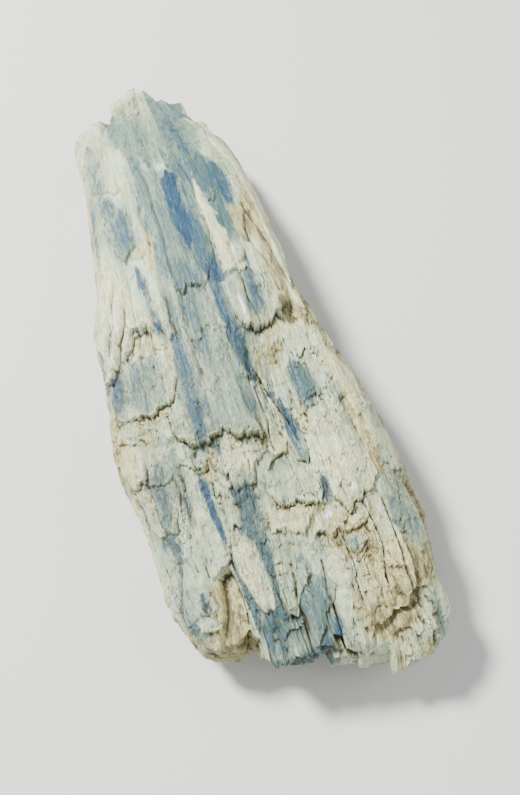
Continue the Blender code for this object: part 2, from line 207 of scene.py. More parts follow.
def cast_skin(tree):
    """The grid's origins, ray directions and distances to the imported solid, in the plan."""
    shares, angle = column_layout()
    y, tip = row_layout()
    rows, columns = len(y), len(shares)
    left, right, level = (interpolate(MEDIAL, y, k) for k in (1, 2, 3))
    origin = np.zeros((rows, columns, 3))
    origin[..., 0] = left[:, None] * (1 - shares) + right[:, None] * shares
    origin[..., 1] = y[:, None]
    origin[..., 2] = level[:, None]
    direction = np.zeros((rows, columns, 3))
    direction[..., 0] = np.cos(tip)[:, None] * np.cos(angle)
    direction[..., 1] = np.sin(tip)[:, None]
    direction[..., 2] = np.cos(tip)[:, None] * np.sin(angle)
    distance = np.full((rows, columns), MISSED)
    start = (origin + direction * RAY_START - CENTRE) * MM
    for i in range(rows):
        for j in range(columns):
            hit = tree.ray_cast(Vector(start[i, j]), Vector(-direction[i, j]))
            if hit[0] is not None:
                distance[i, j] = RAY_START - hit[3] / MM
    return origin, direction, distance


def shifted(grid, rows_down, columns_right):
    """The grid read at places moved by fractions of a cell; the section wraps round, the ends don't."""
    rows, columns = grid.shape
    a = np.clip(np.arange(rows)[:, None] + rows_down, 0, rows - 1.001)
    b = np.arange(columns)[None, :] + columns_right
    ia, ib = np.floor(a).astype(int), np.floor(b).astype(int)
    fa, fb = a - ia, b - ib
    ja, jb = ia + 1, (ib + 1) % columns
    ib = ib % columns
    return ((grid[ia, ib] * (1 - fb) + grid[ia, jb] * fb) * (1 - fa)
            + (grid[ja, ib] * (1 - fb) + grid[ja, jb] * fb) * fa)


def blurred(grid, rows_radius, columns_radius):
    """A box blur, twice each way, round the section and along it."""
    out = grid
    for _ in range(2):
        for axis, radius in ((0, rows_radius), (1, columns_radius)):
            if radius < 1:
                continue
            pad = [(0, 0), (0, 0)]
            pad[axis] = (radius + 1, radius)
            total = np.cumsum(np.pad(out, pad, mode="edge" if axis == 0 else "wrap"), axis=axis)
            size = 2 * radius + 1
            if axis == 0:
                out = (total[size:] - total[:-size]) / size
            else:
                out = (total[:, size:] - total[:, :-size]) / size
    return out


def closed(grid, reach):
    """The grid with its hollows filled where they are narrower than twice this reach, in cells."""
    for pick in (np.maximum, np.minimum):
        for axis in (0, 1):
            for _ in range(reach):
                grid = pick(grid, pick(np.roll(grid, 1, axis), np.roll(grid, -1, axis)))
    return grid


def surface_places(point):
    """Each point's distance round the section from the line x = 0 on top, plus to the right, and its y."""
    step = np.linalg.norm(point - np.roll(point, 1, axis=1), axis=2)
    round_it = np.cumsum(step, axis=1)
    top = point[:, :TOP_COLUMNS, 0]
    zero = np.array([np.interp(0.0, np.maximum.accumulate(top[i]), round_it[i, :TOP_COLUMNS])
                     for i in range(len(point))])
    whole = round_it[:, -1:]
    across = round_it - zero[:, None]
    across = np.where(across > whole / 2, across - whole, across)
    return across, point[..., 1]


# ---- What is seen on top, listed: (x, y) in the plan ----
# Broken steps: drop, how far the step's foot reaches towards the near end, and the line of the break.
LEDGES = (
    (0.6, 3.0, ((-18.5, 44.5), (-15, 43.2), (-12, 43.5))),
    (0.38, 2.0, ((-9, 40), (-6, 40.2))),
    (0.52, 2.0, ((-31, 55), (-27.5, 54), (-24, 54.5))),
    (0.66, 4.0, ((-28, 73), (-25, 75.5), (-22, 79), (-20, 81), (-16.5, 82))),
    (0.35, 3.0, ((10, 49.6), (14, 51.3), (19, 50), (24, 52))),
    (0.45, 2.5, ((-27, 44), (-24, 42.4), (-20, 43))),
)
# The plates' outlines were picked in two enlargements of the photo, given here by the photo's pixel
# at their top left corner. A point is in pixels of the enlargement, or where it says PLAN, in the plan.
NEAR = (90, 380)
FAR = (60, 90)
PLAN = None
ENLARGED = 4.5
# Broken plates and blades, lowest first: what the outline is given in, the rise at the near end (below 0 for
# a hollow), the shares of blue, tan, cream and green, and the outline.
PLATES = (
    # near left outer
    (NEAR, 0.8, (0.15, 0.1, 0.5, 0.4), ((285, 745), (330, 725), (372, 745), (400, 900), (420, 1060),
        (440, 1150), (395, 1120), (360, 1010), (320, 880))),
    # near left inner
    (NEAR, 0.9, (0.3, 0.1, 0.3, 0.5), ((375, 735), (430, 720), (470, 735), (520, 880), (545, 960),
        (500, 1050), (480, 1130), (430, 1150), (410, 1000), (395, 860))),
    # left rim far
    (NEAR, 0.7, (0.05, 0.5, 0.4, 0.3), ((105, 260), (235, 245), (245, 300), (240, 460), (180, 500),
        (130, 420))),
    # left rim near
    (NEAR, 0.6, (0.1, 0.4, 0.4, 0.3), ((165, 510), (240, 465), (290, 600), (330, 700), (290, 735),
        (240, 640))),
    # left green
    (NEAR, 1, (0.4, 0.05, 0.1, 0.9), ((270, 345), (300, 300), (375, 290), (395, 330), (402, 480),
        (400, 600), (385, 700), (350, 700), (300, 640), (262, 520), (245, 430))),
    # streak blade
    (NEAR, 1, (0.15, 0.1, 0.3, 0.5), ((405, 395), (440, 385), (500, 410), (560, 520), (640, 690),
        (645, 840), (590, 870), (545, 905), (520, 850), (470, 700), (430, 560))),
    # streak beside
    (NEAR, 0.7, (0.1, 0.2, 0.3, 0.4), ((530, 420), (600, 430), (640, 490), (680, 600), (690, 690),
        (640, 700), (590, 560))),
    # centre plate
    (NEAR, 1.8, (0.28, 0.05, 0.15, 0.9), ((350, 140), (385, -60), (640, -60), (700, 90), (775, 180),
        (775, 235), (680, 240), (600, 250), (520, 268), (440, 302), (400, 290), (370, 260))),
    # middle crumble
    (NEAR, 1.3, (0.15, 0.15, 0.3, 0.5), ((545, 345), (600, 300), (680, 275), (770, 262), (812, 290),
        (770, 330), (760, 380), (755, 470), (705, 515), (665, 505), (640, 470), (615, 400), (570, 385))),
    # cream sliver
    (NEAR, 0.9, (0, 0.5, 0.6, 0.1), ((765, 110), (790, 105), (835, 190), (890, 255), (885, 310), (840, 350),
        (812, 330), (790, 240))),
    # right beige
    (NEAR, 1.4, (0.05, 0.5, 0.6, 0.2), ((985, 120), (1120, 60), (1180, 190), (1250, 330), (1305, 425),
        (1260, 480), (1210, 530), (1150, 580), (1090, 505), (1040, 430), (985, 330), (960, 220))),
    # blue sliver
    (NEAR, 1.1, (0.8, 0, 0, 0.5), ((835, 95), (880, 85), (930, 170), (985, 300), (975, 345), (930, 335),
        (900, 270), (860, 190))),
    # mid plate
    (NEAR, 1.2, (0.1, 0.4, 0.4, 0.4), ((845, 360), (905, 375), (955, 350), (1040, 430), (1070, 500),
        (1050, 530), (990, 545), (900, 535), (850, 540), (790, 515), (770, 480), (800, 430))),
    # blue mid
    (NEAR, 0.6, (0.75, 0, 0, 0.6), ((670, 500), (760, 515), (790, 600), (815, 715), (770, 760), (700, 700),
        (680, 600))),
    # cream block
    (NEAR, 1, (0, 0.6, 0.9, 0), ((790, 530), (900, 545), (985, 545), (1010, 590), (960, 660), (880, 665),
        (820, 690), (800, 620))),
    # right rubble
    (NEAR, 0.8, (0.1, 0.6, 0.4, 0.2), ((1020, 560), (1090, 520), (1150, 590), (1250, 500), (1265, 560),
        (1240, 640), (1110, 650), (1060, 690), (980, 700), (1000, 630))),
    # grey chip
    (NEAR, 0.9, (0.25, 0.1, 0.1, 0.8), ((1110, 665), (1180, 640), (1240, 660), (1262, 715), (1215, 745),
        (1180, 735), (1135, 715))),
    # near centre
    (NEAR, 0.5, (0.05, 0.05, 0.8, 0.2), ((640, 730), (700, 700), (750, 735), (805, 840), (840, 960),
        (835, 1045), (780, 1070), (720, 990), (660, 880), (635, 800))),
    # near centre right
    (NEAR, 0.7, (0.15, 0.2, 0.3, 0.5), ((810, 700), (900, 690), (960, 740), (990, 850), (960, 1000),
        (945, 1090), (880, 1040), (830, 900))),
    # near right strip
    (NEAR, 0.6, (0.15, 0.45, 0.3, 0.3), ((1060, 730), (1110, 740), (1170, 860), (1200, 1000), (1190, 1100),
        (1110, 1150), (1085, 1050), (1125, 940), (1060, 830))),
    # green diamond
    (NEAR, 0.8, (0.5, 0, 0, 0.9), ((1010, 815), (1060, 840), (1115, 930), (1085, 1010), (1065, 1130),
        (1025, 1185), (985, 1110), (955, 1000), (985, 920))),
    # blue end
    (NEAR, 0.3, (0.8, 0, 0, 0.4), ((760, 1080), (850, 1060), (940, 1100), (1000, 1200), (1020, 1280),
        (880, 1290), (790, 1270))),
    # right tan
    (NEAR, -0.5, (0, 0.8, 0.5, 0), ((1190, 800), (1260, 740), (1340, 760), (1420, 860), (1470, 980),
        (1400, 1040), (1290, 1110), (1210, 1000))),
    # right long
    (NEAR, 1, (0.05, 0.6, 0.5, 0.1), ((1255, 580), (1320, 540), (1370, 640), (1440, 780), (1475, 950),
        (1440, 1000), (1360, 900), (1290, 750))),
    # right rim blue
    (NEAR, 0.7, (0.5, 0.15, 0, 0.6), ((1275, 480), (1330, 470), (1440, 560), (1530, 680), (1535, 740),
        (1490, 760), (1420, 680), (1340, 570))),
    # right rim beige
    (NEAR, 0.7, (0.15, 0.5, 0.3, 0.3), ((1130, 0), (1180, 0), (1250, 100), (1350, 280), (1400, 360),
        (1420, 440), (1360, 420), (1290, 300), (1200, 140))),
    # far tip
    (FAR, 0.4, (0.5, 0.05, 0.1, 0.95), ((180, 160), (230, 60), (340, 10), (450, 60), (600, 150), (640, 250),
        (560, 330), (430, 320), (300, 330), (240, 250))),
    # far left block
    (FAR, 0.6, (0.1, 0.15, 0.6, 0.6), ((60, 270), (165, 185), (205, 215), (235, 340), (270, 460),
        (180, 475), (115, 460), (80, 370))),
    # far left blue
    (FAR, 0.8, (0.35, 0.05, 0.3, 0.4), ((130, 485), (290, 475), (330, 620), (330, 700), (290, 770),
        (230, 720), (190, 640), (140, 640))),
    # splinter outer
    (FAR, 1.2, (0, 0, 0.8, 0.2), ((205, 870), (235, 860), (225, 1050), (205, 1210), (165, 1240),
        (160, 1190), (180, 1060))),
    # splinter inner
    (FAR, 1.5, (0, 0.05, 0.9, 0.1), ((240, 860), (285, 855), (300, 950), (255, 1180), (235, 1320),
        (200, 1310), (225, 1100))),
    # splinter wedge
    (FAR, 1.2, (0.05, 0.1, 0.7, 0.2), ((290, 860), (340, 900), (430, 1030), (350, 1050), (300, 1110),
        (290, 1180), (260, 1240), (285, 1000))),
    # left hollow
    (FAR, -0.5, (0, 0.65, 0.3, 0), ((320, 1060), (420, 1040), (490, 1090), (515, 1200), (480, 1185),
        (380, 1175), (290, 1215))),
    # oval plate
    (FAR, 1.3, (0.3, 0.05, 0.1, 0.9), ((240, 1260), (290, 1210), (380, 1180), (470, 1195), (515, 1260),
        (525, 1360), (500, 1410), (455, 1430), (400, 1450), (330, 1470), (290, 1500), (235, 1480),
        (225, 1380))),
    # groove blade
    (FAR, 0.6, (0.5, 0, 0.15, 0.8), ((400, 700), (450, 760), (540, 910), (560, 1040), (620, 1200),
        (700, 1480), (560, 1480), (520, 1300), (510, 1100), (440, 950))),
    # far centre
    (FAR, 0.55, (0.5, 0, 0.15, 0.8), ((320, 350), (470, 330), (600, 400), (680, 640), (690, 720),
        (640, 850), (560, 910), (500, 880), (430, 700), (380, 560), (330, 470))),
    # centre blade
    (FAR, 0.6, (0.25, 0, 0.25, 1), ((545, 912), (640, 870), (700, 900), (730, 980), (790, 1100),
        (850, 1260), (860, 1340), (900, 1480), (700, 1480), (640, 1270), (580, 1090))),
    # blue long
    (FAR, 0.8, (0.9, 0, 0, 0.4), ((690, 910), (720, 900), (780, 1010), (840, 1120), (850, 1260),
        (800, 1230), (750, 1110))),
    # cream beside
    (FAR, 0.5, (0.05, 0.05, 0.8, 0.2), ((590, 400), (640, 420), (700, 560), (760, 640), (830, 700),
        (850, 800), (720, 800), (690, 700), (640, 560))),
    # right groove
    (FAR, -0.8, (0, 0.9, 0, 0), ((820, 520), (870, 540), (950, 640), (1000, 780), (960, 800), (880, 700),
        (830, 620))),
    # right plate
    (FAR, 1.6, (0.3, 0.05, 0.5, 0.4), ((700, 820), (860, 800), (900, 800), (985, 880), (1040, 920),
        (980, 1000), (920, 1090), (860, 1100), (800, 1040), (750, 930))),
    # right ridge
    (FAR, 0.8, (0, 0.3, 0.6, 0.1), ((640, 180), (800, 290), (880, 450), (960, 600), (1040, 800),
        (1110, 980), (1060, 960), (1000, 800), (940, 640), (860, 480), (780, 340), (700, 250))),
    # pink plate
    (FAR, 0.6, (0, 0.4, 0.6, 0.2), ((880, 1130), (990, 1000), (1100, 1010), (1130, 1150), (1060, 1200),
        (1000, 1130), (940, 1165), (900, 1150))),
    # green patch
    (FAR, 0.5, (0.3, 0, 0, 1), ((1000, 1250), (1080, 1200), (1150, 1290), (1190, 1370), (1090, 1390),
        (1040, 1330))),
    # right strip
    (FAR, 0.6, (0.05, 0.5, 0.4, 0.2), ((1110, 1010), (1160, 1080), (1280, 1220), (1400, 1400), (1430, 1480),
        (1340, 1480), (1250, 1330), (1180, 1200), (1120, 1100))),
    # notch
    (NEAR, -2.6, (0, 0.9, 0.1, 0), ((560, 905), (635, 860), (665, 905), (700, 1010), (740, 1180),
        (745, 1290), (600, 1285), (575, 1150), (585, 1010))),
    # slit
    (PLAN, -5, (0, 1, 0, 0), ((10.5, -1), (14, 0.8), (18, 2.2), (22.5, 3.2), (23, 1.2), (19.5, -0.2),
        (15.5, -1.6), (11.5, -2.6))),
    # chips on the near half
    (NEAR, 0.6, (0, 0.2, 0.4, 0.3), ((385, 300), (430, 310), (445, 370), (410, 390), (385, 350))),
    (NEAR, 0.7, (0.3, 0.1, 0.2, 0.5), ((445, 330), (500, 315), (530, 360), (510, 400), (450, 385))),
    (NEAR, 0.6, (0, 0.3, 0.3, 0.3), ((560, 395), (610, 400), (640, 470), (600, 480), (560, 430))),
    (NEAR, 1.75, (0.35, 0, 0.2, 0.7), ((640, 400), (700, 380), (742, 400), (735, 470), (690, 500),
        (650, 480))),
    (NEAR, 1, (0, 0.2, 0.5, 0.2), ((560, 350), (640, 330), (650, 380), (600, 400), (560, 385))),
    (NEAR, 0.7, (0.2, 0.1, 0.3, 0.5), ((780, 300), (830, 300), (840, 350), (800, 400), (775, 370))),
    (NEAR, 0.8, (0.25, 0, 0.3, 0.6), ((760, 400), (820, 410), (850, 470), (800, 500), (750, 480))),
    (NEAR, 1.2, (0, 0.5, 0.5, 0.1), ((990, 330), (1060, 300), (1100, 380), (1060, 420), (1010, 400))),
    (NEAR, 1.1, (0, 0.45, 0.6, 0.1), ((1060, 240), (1140, 230), (1180, 300), (1120, 340), (1070, 300))),
    (NEAR, 1.5, (0, 0.4, 0.6, 0.2), ((1160, 340), (1230, 330), (1270, 420), (1200, 450), (1160, 400))),
    (NEAR, 1.75, (0, 0.35, 0.7, 0.2), ((1090, 440), (1160, 440), (1200, 520), (1150, 570), (1100, 500))),
    (NEAR, 0.9, (0, 0.4, 0.4, 0.1), ((970, 210), (1040, 200), (1060, 250), (1000, 270))),
    (NEAR, 0.9, (0, 0.3, 0.4, 0.2), ((430, 560), (500, 560), (520, 640), (470, 640))),
    (NEAR, 0.8, (0.2, 0.1, 0.2, 0.5), ((470, 1090), (560, 1060), (570, 1150), (500, 1180))),
    (NEAR, 0.9, (0.6, 0.1, 0, 0.5), ((500, 980), (550, 960), (560, 1040), (520, 1060))),
    (NEAR, 0.7, (0, 0.3, 0.4, 0.2), ((830, 760), (880, 750), (900, 860), (860, 900), (835, 830))),
    (NEAR, 0.7, (0.5, 0, 0.1, 0.5), ((930, 740), (985, 760), (990, 830), (960, 850), (935, 800))),
    (NEAR, 0.8, (0.2, 0.1, 0.3, 0.5), ((1120, 850), (1160, 860), (1190, 960), (1150, 970), (1125, 920))),
    (NEAR, 0.8, (0.6, 0, 0.1, 0.5), ((1100, 1080), (1160, 1060), (1190, 1130), (1150, 1180), (1110, 1150))),
    (NEAR, 0.8, (0, 0.5, 0.3, 0.1), ((1190, 1130), (1260, 1120), (1280, 1190), (1220, 1210))),
    (NEAR, 1, (0, 0.4, 0.5, 0.1), ((1330, 1160), (1420, 1150), (1450, 1210), (1390, 1260), (1330, 1230))),
    (NEAR, 0.9, (0, 0.5, 0.3, 0.1), ((1430, 1070), (1490, 1050), (1515, 1110), (1460, 1140))),
    (NEAR, 0.7, (0, 0.3, 0.3, 0.3), ((1500, 1000), (1560, 1010), (1560, 1120), (1510, 1100))),
    (NEAR, 0.8, (0.5, 0, 0.2, 0.5), ((880, 1060), (960, 1080), (980, 1130), (900, 1140))),
    (NEAR, 0.7, (0.7, 0, 0.2, 0.3), ((905, 1180), (1000, 1190), (1015, 1240), (910, 1260))),
    (NEAR, 0.9, (0.1, 0, 0.6, 0.3), ((410, 820), (450, 830), (480, 930), (440, 960))),
    # chips on the far half
    (FAR, 0.9, (0.6, 0.1, 0, 1), ((650, 420), (700, 440), (700, 490), (650, 480))),
    (FAR, 0.9, (0, 0.1, 0.7, 0.3), ((700, 560), (740, 600), (760, 650), (720, 700), (690, 640))),
    (FAR, 0.9, (0.3, 0.1, 0.5, 0.4), ((760, 640), (830, 690), (840, 750), (780, 760))),
    (FAR, 0.8, (0, 0.35, 0.5, 0), ((950, 1080), (1010, 1060), (1050, 1110), (1000, 1150))),
    (FAR, 0.8, (0.6, 0, 0.1, 0.9), ((460, 760), (560, 770), (640, 860), (550, 905), (500, 880))),
    (FAR, 1, (0.5, 0, 0.2, 0.6), ((730, 830), (790, 850), (800, 930), (760, 920))),
    (FAR, 1.3, (0.75, 0, 0.1, 0.4), ((830, 880), (880, 850), (930, 900), (900, 960), (850, 1000),
        (825, 950))),
    (FAR, 0.5, (0.1, 0.1, 0.3, 0.6), ((1000, 1180), (1060, 1190), (1090, 1250), (1010, 1260))),
    # arcs in the tan hollow
    (PLAN, 0.45, (0, 0.5, 0.6, 0), ((14.5, 11.5), (17, 13.5), (19.5, 12.5), (19, 10.5), (17, 9))),
    (PLAN, 0.45, (0, 0.6, 0.4, 0), ((15.5, 9), (18, 10.5), (20.5, 9), (20, 7), (17, 6))),
    (PLAN, 0.4, (0, 0.6, 0.5, 0), ((12.5, 8.5), (14.5, 9.5), (15.5, 7), (14.5, 5), (12, 5.5))),
)
# Open cracks along the blades: depth, half width and line.
CRACKS = (
    (1, 0.3, ((4.5, 62), (6.5, 54), (8.5, 48))), (0.9, 0.55, ((-11, 75), (-11.4, 96), (-11, 118))),
    (0.8, 0.6, ((-15, 106), (-14.2, 130), (-14.6, 158))), (1.2, 0.4, ((23.2, 5), (22.8, 15), (23.4, 26))),
    (0.8, 0.3, ((3, 42), (3.4, 50), (2.6, 58))), (0.8, 0.3, ((-13.2, 8), (-12.6, 20), (-13.4, 27))),
    (0.9, 0.35, ((5.6, 2), (5.2, 10), (5.9, 17))), (0.9, 0.35, ((-1, 0), (-1.4, 9), (-0.8, 18))),
    (0.7, 0.3, ((-20.5, 22), (-20.8, 33), (-20.2, 43))), (0.7, 0.3, ((11.5, 5), (12.5, 13), (11.8, 22))),
    (0.8, 0.35, ((18.5, 8), (19.5, 18), (19, 27))), (0.7, 0.35, ((9, 72), (8, 84), (8.6, 98))),
    (0.7, 0.35, ((-22.3, 97), (-25.6, 84), (-29.2, 73))),
    (0.6, 0.3, ((-19.8, 95), (-22.4, 84), (-26.2, 75))),
    (1.6, 0.6, ((16.2, 113), (18.4, 106), (20.6, 96), (21, 84))),
    (0.8, 0.5, ((14, 104), (15.6, 97), (18.2, 88))), (0.6, 0.35, ((4, 92), (4.6, 112), (3.6, 134))),
    (0.6, 0.35, ((-7.5, 92), (-7.2, 112), (-7.8, 138))),
)
# Blue blades: how blue, how deep a blue, the middle line's ends and the half width.
BLUES = (
    (1, 1, (-1.6, 103), (-1.2, 127), 2), (1, 0.35, (2, 90), (0.6, 112), 2.6),
    (1, 0.9, (2.6, 89), (1.6, 97), 1.6), (0.8, 0.5, (5.8, 136), (5, 156), 2.1),
    (0.5, 0.2, (-4, 144), (-4, 161), 2), (0.9, 0.45, (13.2, 102), (12, 129), 1.9),
    (0.7, 0.1, (7.5, 114), (7.5, 122), 1.3), (0.75, 0.3, (-15.6, 103), (-18.6, 125), 3.8),
    (0.9, 0.9, (-15.6, 98), (-13.8, 78), 0.9), (0.9, 0.3, (-12, 49), (-11.5, 76), 1.7),
    (0.9, 0.6, (3.2, 61), (1, 87), 1.1), (0.7, 0.1, (-5.6, 67), (-5.4, 87), 2.2),
    (0.8, 0.3, (9.5, 76), (10, 89), 2.4), (0.8, 0.1, (14.5, 51), (14.5, 62), 3),
    (1, 0.9, (8.9, 46), (8, 55), 0.8), (0.9, 0.7, (11, 28), (11, 34), 0.8),
    (0.75, 0.2, (-5.5, 21), (-5.5, 34), 2.4), (1, 1, (-14.1, 41), (-13.1, 25), 0.85),
    (0.5, 0.1, (-23.8, 12), (-25, 30), 2.4), (0.65, 0.3, (-7, -2), (-6.2, 9), 3.2),
    (0.6, 0.1, (2.2, -2), (3.2, 15), 2.5), (1, 0.8, (5, 1), (5.4, 5), 0.8),
    (0.8, 0.5, (27, 24), (26.5, 38), 1.2), (0.9, 0.6, (-20, 12), (-20.3, 17), 0.8),
    (0.9, 0.55, (-28.6, 61), (-27, 72), 1.2), (0.6, 0.1, (-21.5, 62), (-21, 73), 4.5),
    (0.6, 0.1, (-18.5, 33), (-18, 43), 1.5), (0.7, 0.2, (-23.5, 34), (-23, 48), 1.6),
    (0.6, 0.1, (0.5, 51), (0, 62), 1.5), (0.6, 0.1, (13.5, 17.5), (13.5, 22), 2.5),
    (0.6, 0.15, (22, 36), (21, 56), 1.2), (0.6, 0.1, (-20.5, 122), (-19.5, 150), 2.6),
    (0.5, 0.15, (-9.5, 120), (-8.5, 168), 2), (0.6, 0.2, (-9.5, 92), (-9, 108), 1.6),
)
# Stained or broken places: how brown, centre x and y, half sizes.
STAINS = (
    (0.75, -18.5, 77.5, 5, 3.2), (0.9, -14.2, 72, 1.3, 4), (0.35, -20.5, 55.5, 4.5, 3.5),
    (0.9, 17.5, 94, 3, 14), (1.3, 18.6, 92, 2, 5), (1.3, 18.4, 103, 2, 7.5), (1.2, 17.2, 78.5, 3, 2.6),
    (0.6, 24, 62, 3.4, 13), (0.45, 3.5, 27.5, 7, 3.2), (0.85, -15.8, 12, 3.4, 8.5), (0.5, 15, 12, 8, 9),
    (1.6, 16.8, 0.4, 6.5, 2.8), (0.8, 17, 9.5, 5, 6), (0.6, -29.5, 50, 3.5, 14),
    (0.9, -29.8, 54.5, 1.8, 2.5), (0.8, -30.5, 61, 1.4, 4), (0.4, 12.5, 71, 5, 4), (0.75, -23, 4, 5, 5),
    (0.35, 5, 48, 2, 7), (0.35, 18, 45, 6, 8), (0.45, 21, 25, 4, 9),
)
# Where the stone has crumbled into small bits: centre x and y, half sizes.
CRUMBLED = (
    (-21, 55, 7, 4.5), (4, 29, 9, 3.5), (15.5, 12, 8, 9), (16, 47, 7, 5), (-1, 45, 5, 3.5), (-24, 8, 4, 5),
    (13, 21, 8, 3), (-14, 48, 4, 4),
)
# How blue and how stained the stone is in general: centre x and y, half sizes, blue share, tan share.
REGIONS = (
    (0, 118, 14, 34, 0.52, 0.08), (-20, 132, 6, 30, 0.3, 0.18), (0, 160, 14, 22, 0.4, 0.15),
    (-5, 72, 9, 26, 0.48, 0.1), (11, 84, 9, 16, 0.4, 0.25), (20, 100, 5, 40, 0.2, 0.6),
    (-21, 68, 8, 10, 0.45, 0.25), (-24, 92, 7, 16, 0.15, 0.15), (-23, 53, 9, 8, 0.12, 0.45),
    (14, 60, 12, 14, 0.3, 0.3), (28, 60, 7, 26, 0.15, 0.5), (6, 42, 16, 10, 0.18, 0.36),
    (-22, 38, 9, 16, 0.42, 0.22), (6, 27, 14, 7, 0.12, 0.5), (-22, 16, 9, 16, 0.42, 0.2),
    (-5, 10, 9, 18, 0.45, 0.2), (17, 12, 12, 14, 0.12, 0.58), (26, 28, 8, 12, 0.4, 0.32),
    (-16.5, 8, 4, 12, 0.05, 0.75),
)
# Cream blades, where the stone is palest and a little yellow: centre x and y, half sizes.
CREAMS = (
    (-24, 90, 4, 16), (3.5, 28, 6.5, 4), (13, 71.5, 5, 4.5), (-9.5, 18, 3, 9), (-8.5, 70, 1.4, 20),
    (16, 36, 4, 7), (-5, 42, 4.5, 6), (-29.5, 52, 2, 16), (13, 14, 1.2, 2.2), (24, 44, 3, 14),
    (5, 110, 2.5, 12), (-3, 168, 6, 10),
)
# Painted glints, small white places where the stone glitters: centre x and y, half sizes.
GLINTS = (
    (12.6, 15, 0.9, 2.2), (9.8, 26.4, 1.6, 0.9), (17, 30, 1.5, 1), (2.6, 57, 0.4, 3), (6, 78, 0.4, 5),
    (-24.4, 86, 0.7, 9),
)

# ---- How finely the stone is broken ----
FIBRE_WIDTH = 0.7                           # mm; fibres break off singly, which makes every step ragged
FIBRE_REACH = 0.6                           # mm, how far a fibre's end strays along the blades
BREAKS = ((6.0, 1.3), (2.4, 1.1), (1.1, 0.55))   # how breaks wander: over mm across, by mm along
PLATE_EDGES = (0.25, 0.7, 2.5)              # mm over which a plate's near end, sides and far end ease in
PAINT_EDGES = (0.4, 0.6, 2.0)               # the same for its colour
PLATE_LIFT = 0.3                            # the share of its rise a plate has at its far end
# width and length, the height a blade may lack, its sideways lean
BLADES = (
    (6.0, 70.0, 0.38, 0.09), (2.4, 30.0, 0.20, 0.13),
)
# width, length and rise at the near end
SHINGLES = (
    (4.2, 22.0, 0.55), (1.9, 9.0, 0.48), (0.85, 3.6, 0.27),
)
# width, length, layers, a layer's thickness, share where unbroken
FLAKES = (
    (6.0, 17.0, 4.0, 0.30, 0.25), (2.2, 8.0, 4.0, 0.26, 0.14), (0.95, 3.6, 3.0, 0.15, 0.10),
)
STRIATION = 0.036                           # mm, height of the fine fibres
CRUMBLE = 0.16                              # mm, roughness where the stone has crumbled
CRACK_WIDTH = 0.22                          # mm, half width of the seams between blades


def cells(value, width, seed):
    """Uneven strips: each point's strip, its distance to the nearer side and its place across the strip."""
    rng = np.random.default_rng(seed)
    edges = np.cumsum(rng.uniform(0.45, 1.6, int(420 / width))) * width - 200
    index = np.clip(np.searchsorted(edges, value), 1, len(edges) - 1)
    low, high = edges[index - 1], edges[index]
    return index, np.minimum(value - low, high - value), value - (low + high) / 2


def line_distance(x, y, line):
    """Distance to a line of straight pieces."""
    best = np.full(np.shape(x), 1e9)
    for (x0, y0), (x1, y1) in zip(line, line[1:]):
        length = math.hypot(x1 - x0, y1 - y0)
        t = np.clip(((x - x0) * (x1 - x0) + (y - y0) * (y1 - y0)) / length ** 2, 0, 1)
        best = np.minimum(best, np.hypot(x - x0 - t * (x1 - x0), y - y0 - t * (y1 - y0)))
    return best


def break_offsets(across, along, seed=11):
    """How far each place on a break lies from the break's own line, in mm along the blades."""
    fibre, _, _ = cells(across, FIBRE_WIDTH, seed)
    total = FIBRE_REACH * noise(along / 9.0 + hash01(fibre, 0, seed) * 50, fibre * 7.31, seed)
    for k, (width, reach) in enumerate(BREAKS):
        total = total + reach * noise(across / width, along / (4 * width), seed + 3 + k)
    return total


def pieces(across, along, width, length, wander_share, seed):
    """Uneven strips cut into pieces: strip, distance to the side, place across, piece, place along it."""
    wander = wander_share * width * noise(along / (0.7 * length), across * 0 + seed, seed)
    strip, side, place = cells(across + wander, width, seed)
    size = length * (0.5 + 1.2 * hash01(strip, 3, seed))
    part = along / size + hash01(strip, 5, seed) * 9
    piece = np.floor(part)
    return strip, side, place, piece, part - piece


def blades(across, along, width, length, seed):
    """Blades side by side: height from 0 to 1, distance to the side, place across, the blade's number."""
    strip, side, place, piece, _ = pieces(across, along, width, length, 0.45, seed)
    return hash01(strip, piece, seed), side, place, strip * 977 + piece


def shingles(across, along, width, length, seed):
    """Thin blades like roof tiles: height from 0 to 1, highest at the near end, and the blade's number."""
    strip, _, _, piece, part = pieces(across, along, width, length, 0.4, seed)
    return (1 - part) * (0.4 + 0.6 * hash01(strip, piece, seed + 1)), strip * 977 + piece


def flakes(across, along, width, length, layers, seed):
    """Thin layers broken off one below the other: a height that falls in short risers, and the layer."""
    depth = layers * (0.5 + 0.5 * cloud(across / width, along / length, seed, 4))
    layer = np.floor(depth)
    return layer + smooth(0.82, 1.0, depth - layer) - 0.6 * layers, layer


def picked_place(tree, view, spot):
    """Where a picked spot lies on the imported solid, in the plan, to the nearest half millimetre."""
    if view is PLAN:
        return spot
    px, py = (corner + part / ENLARGED for corner, part in zip(view, spot))
    ray = Vector(((px - PHOTO_MIDDLE[0]) / PHOTO_FOCAL, (PHOTO_MIDDLE[1] - py) / PHOTO_FOCAL, -1.0))
    ray.rotate(Euler((math.pi / 2 - CAMERA_DOWN, 0, PHOTO_TURN)))
    hit = tree.ray_cast(in_frame(PHOTO_PLACE), ray)[0]
    if hit is None:
        place = Vector(PHOTO_PLACE) + ray * ((BESIDE_LEVEL - PHOTO_PLACE[2]) / ray.z)
    else:
        place = hit / MM + Vector(CENTRE)
    return round(2 * place.x) / 2, round(2 * place.y) / 2


def placed_plates(tree):
    """The plates with their outlines in the plan."""
    return [(rise, shares, tuple(picked_place(tree, view, spot) for spot in outline))
            for view, rise, shares, outline in PLATES]


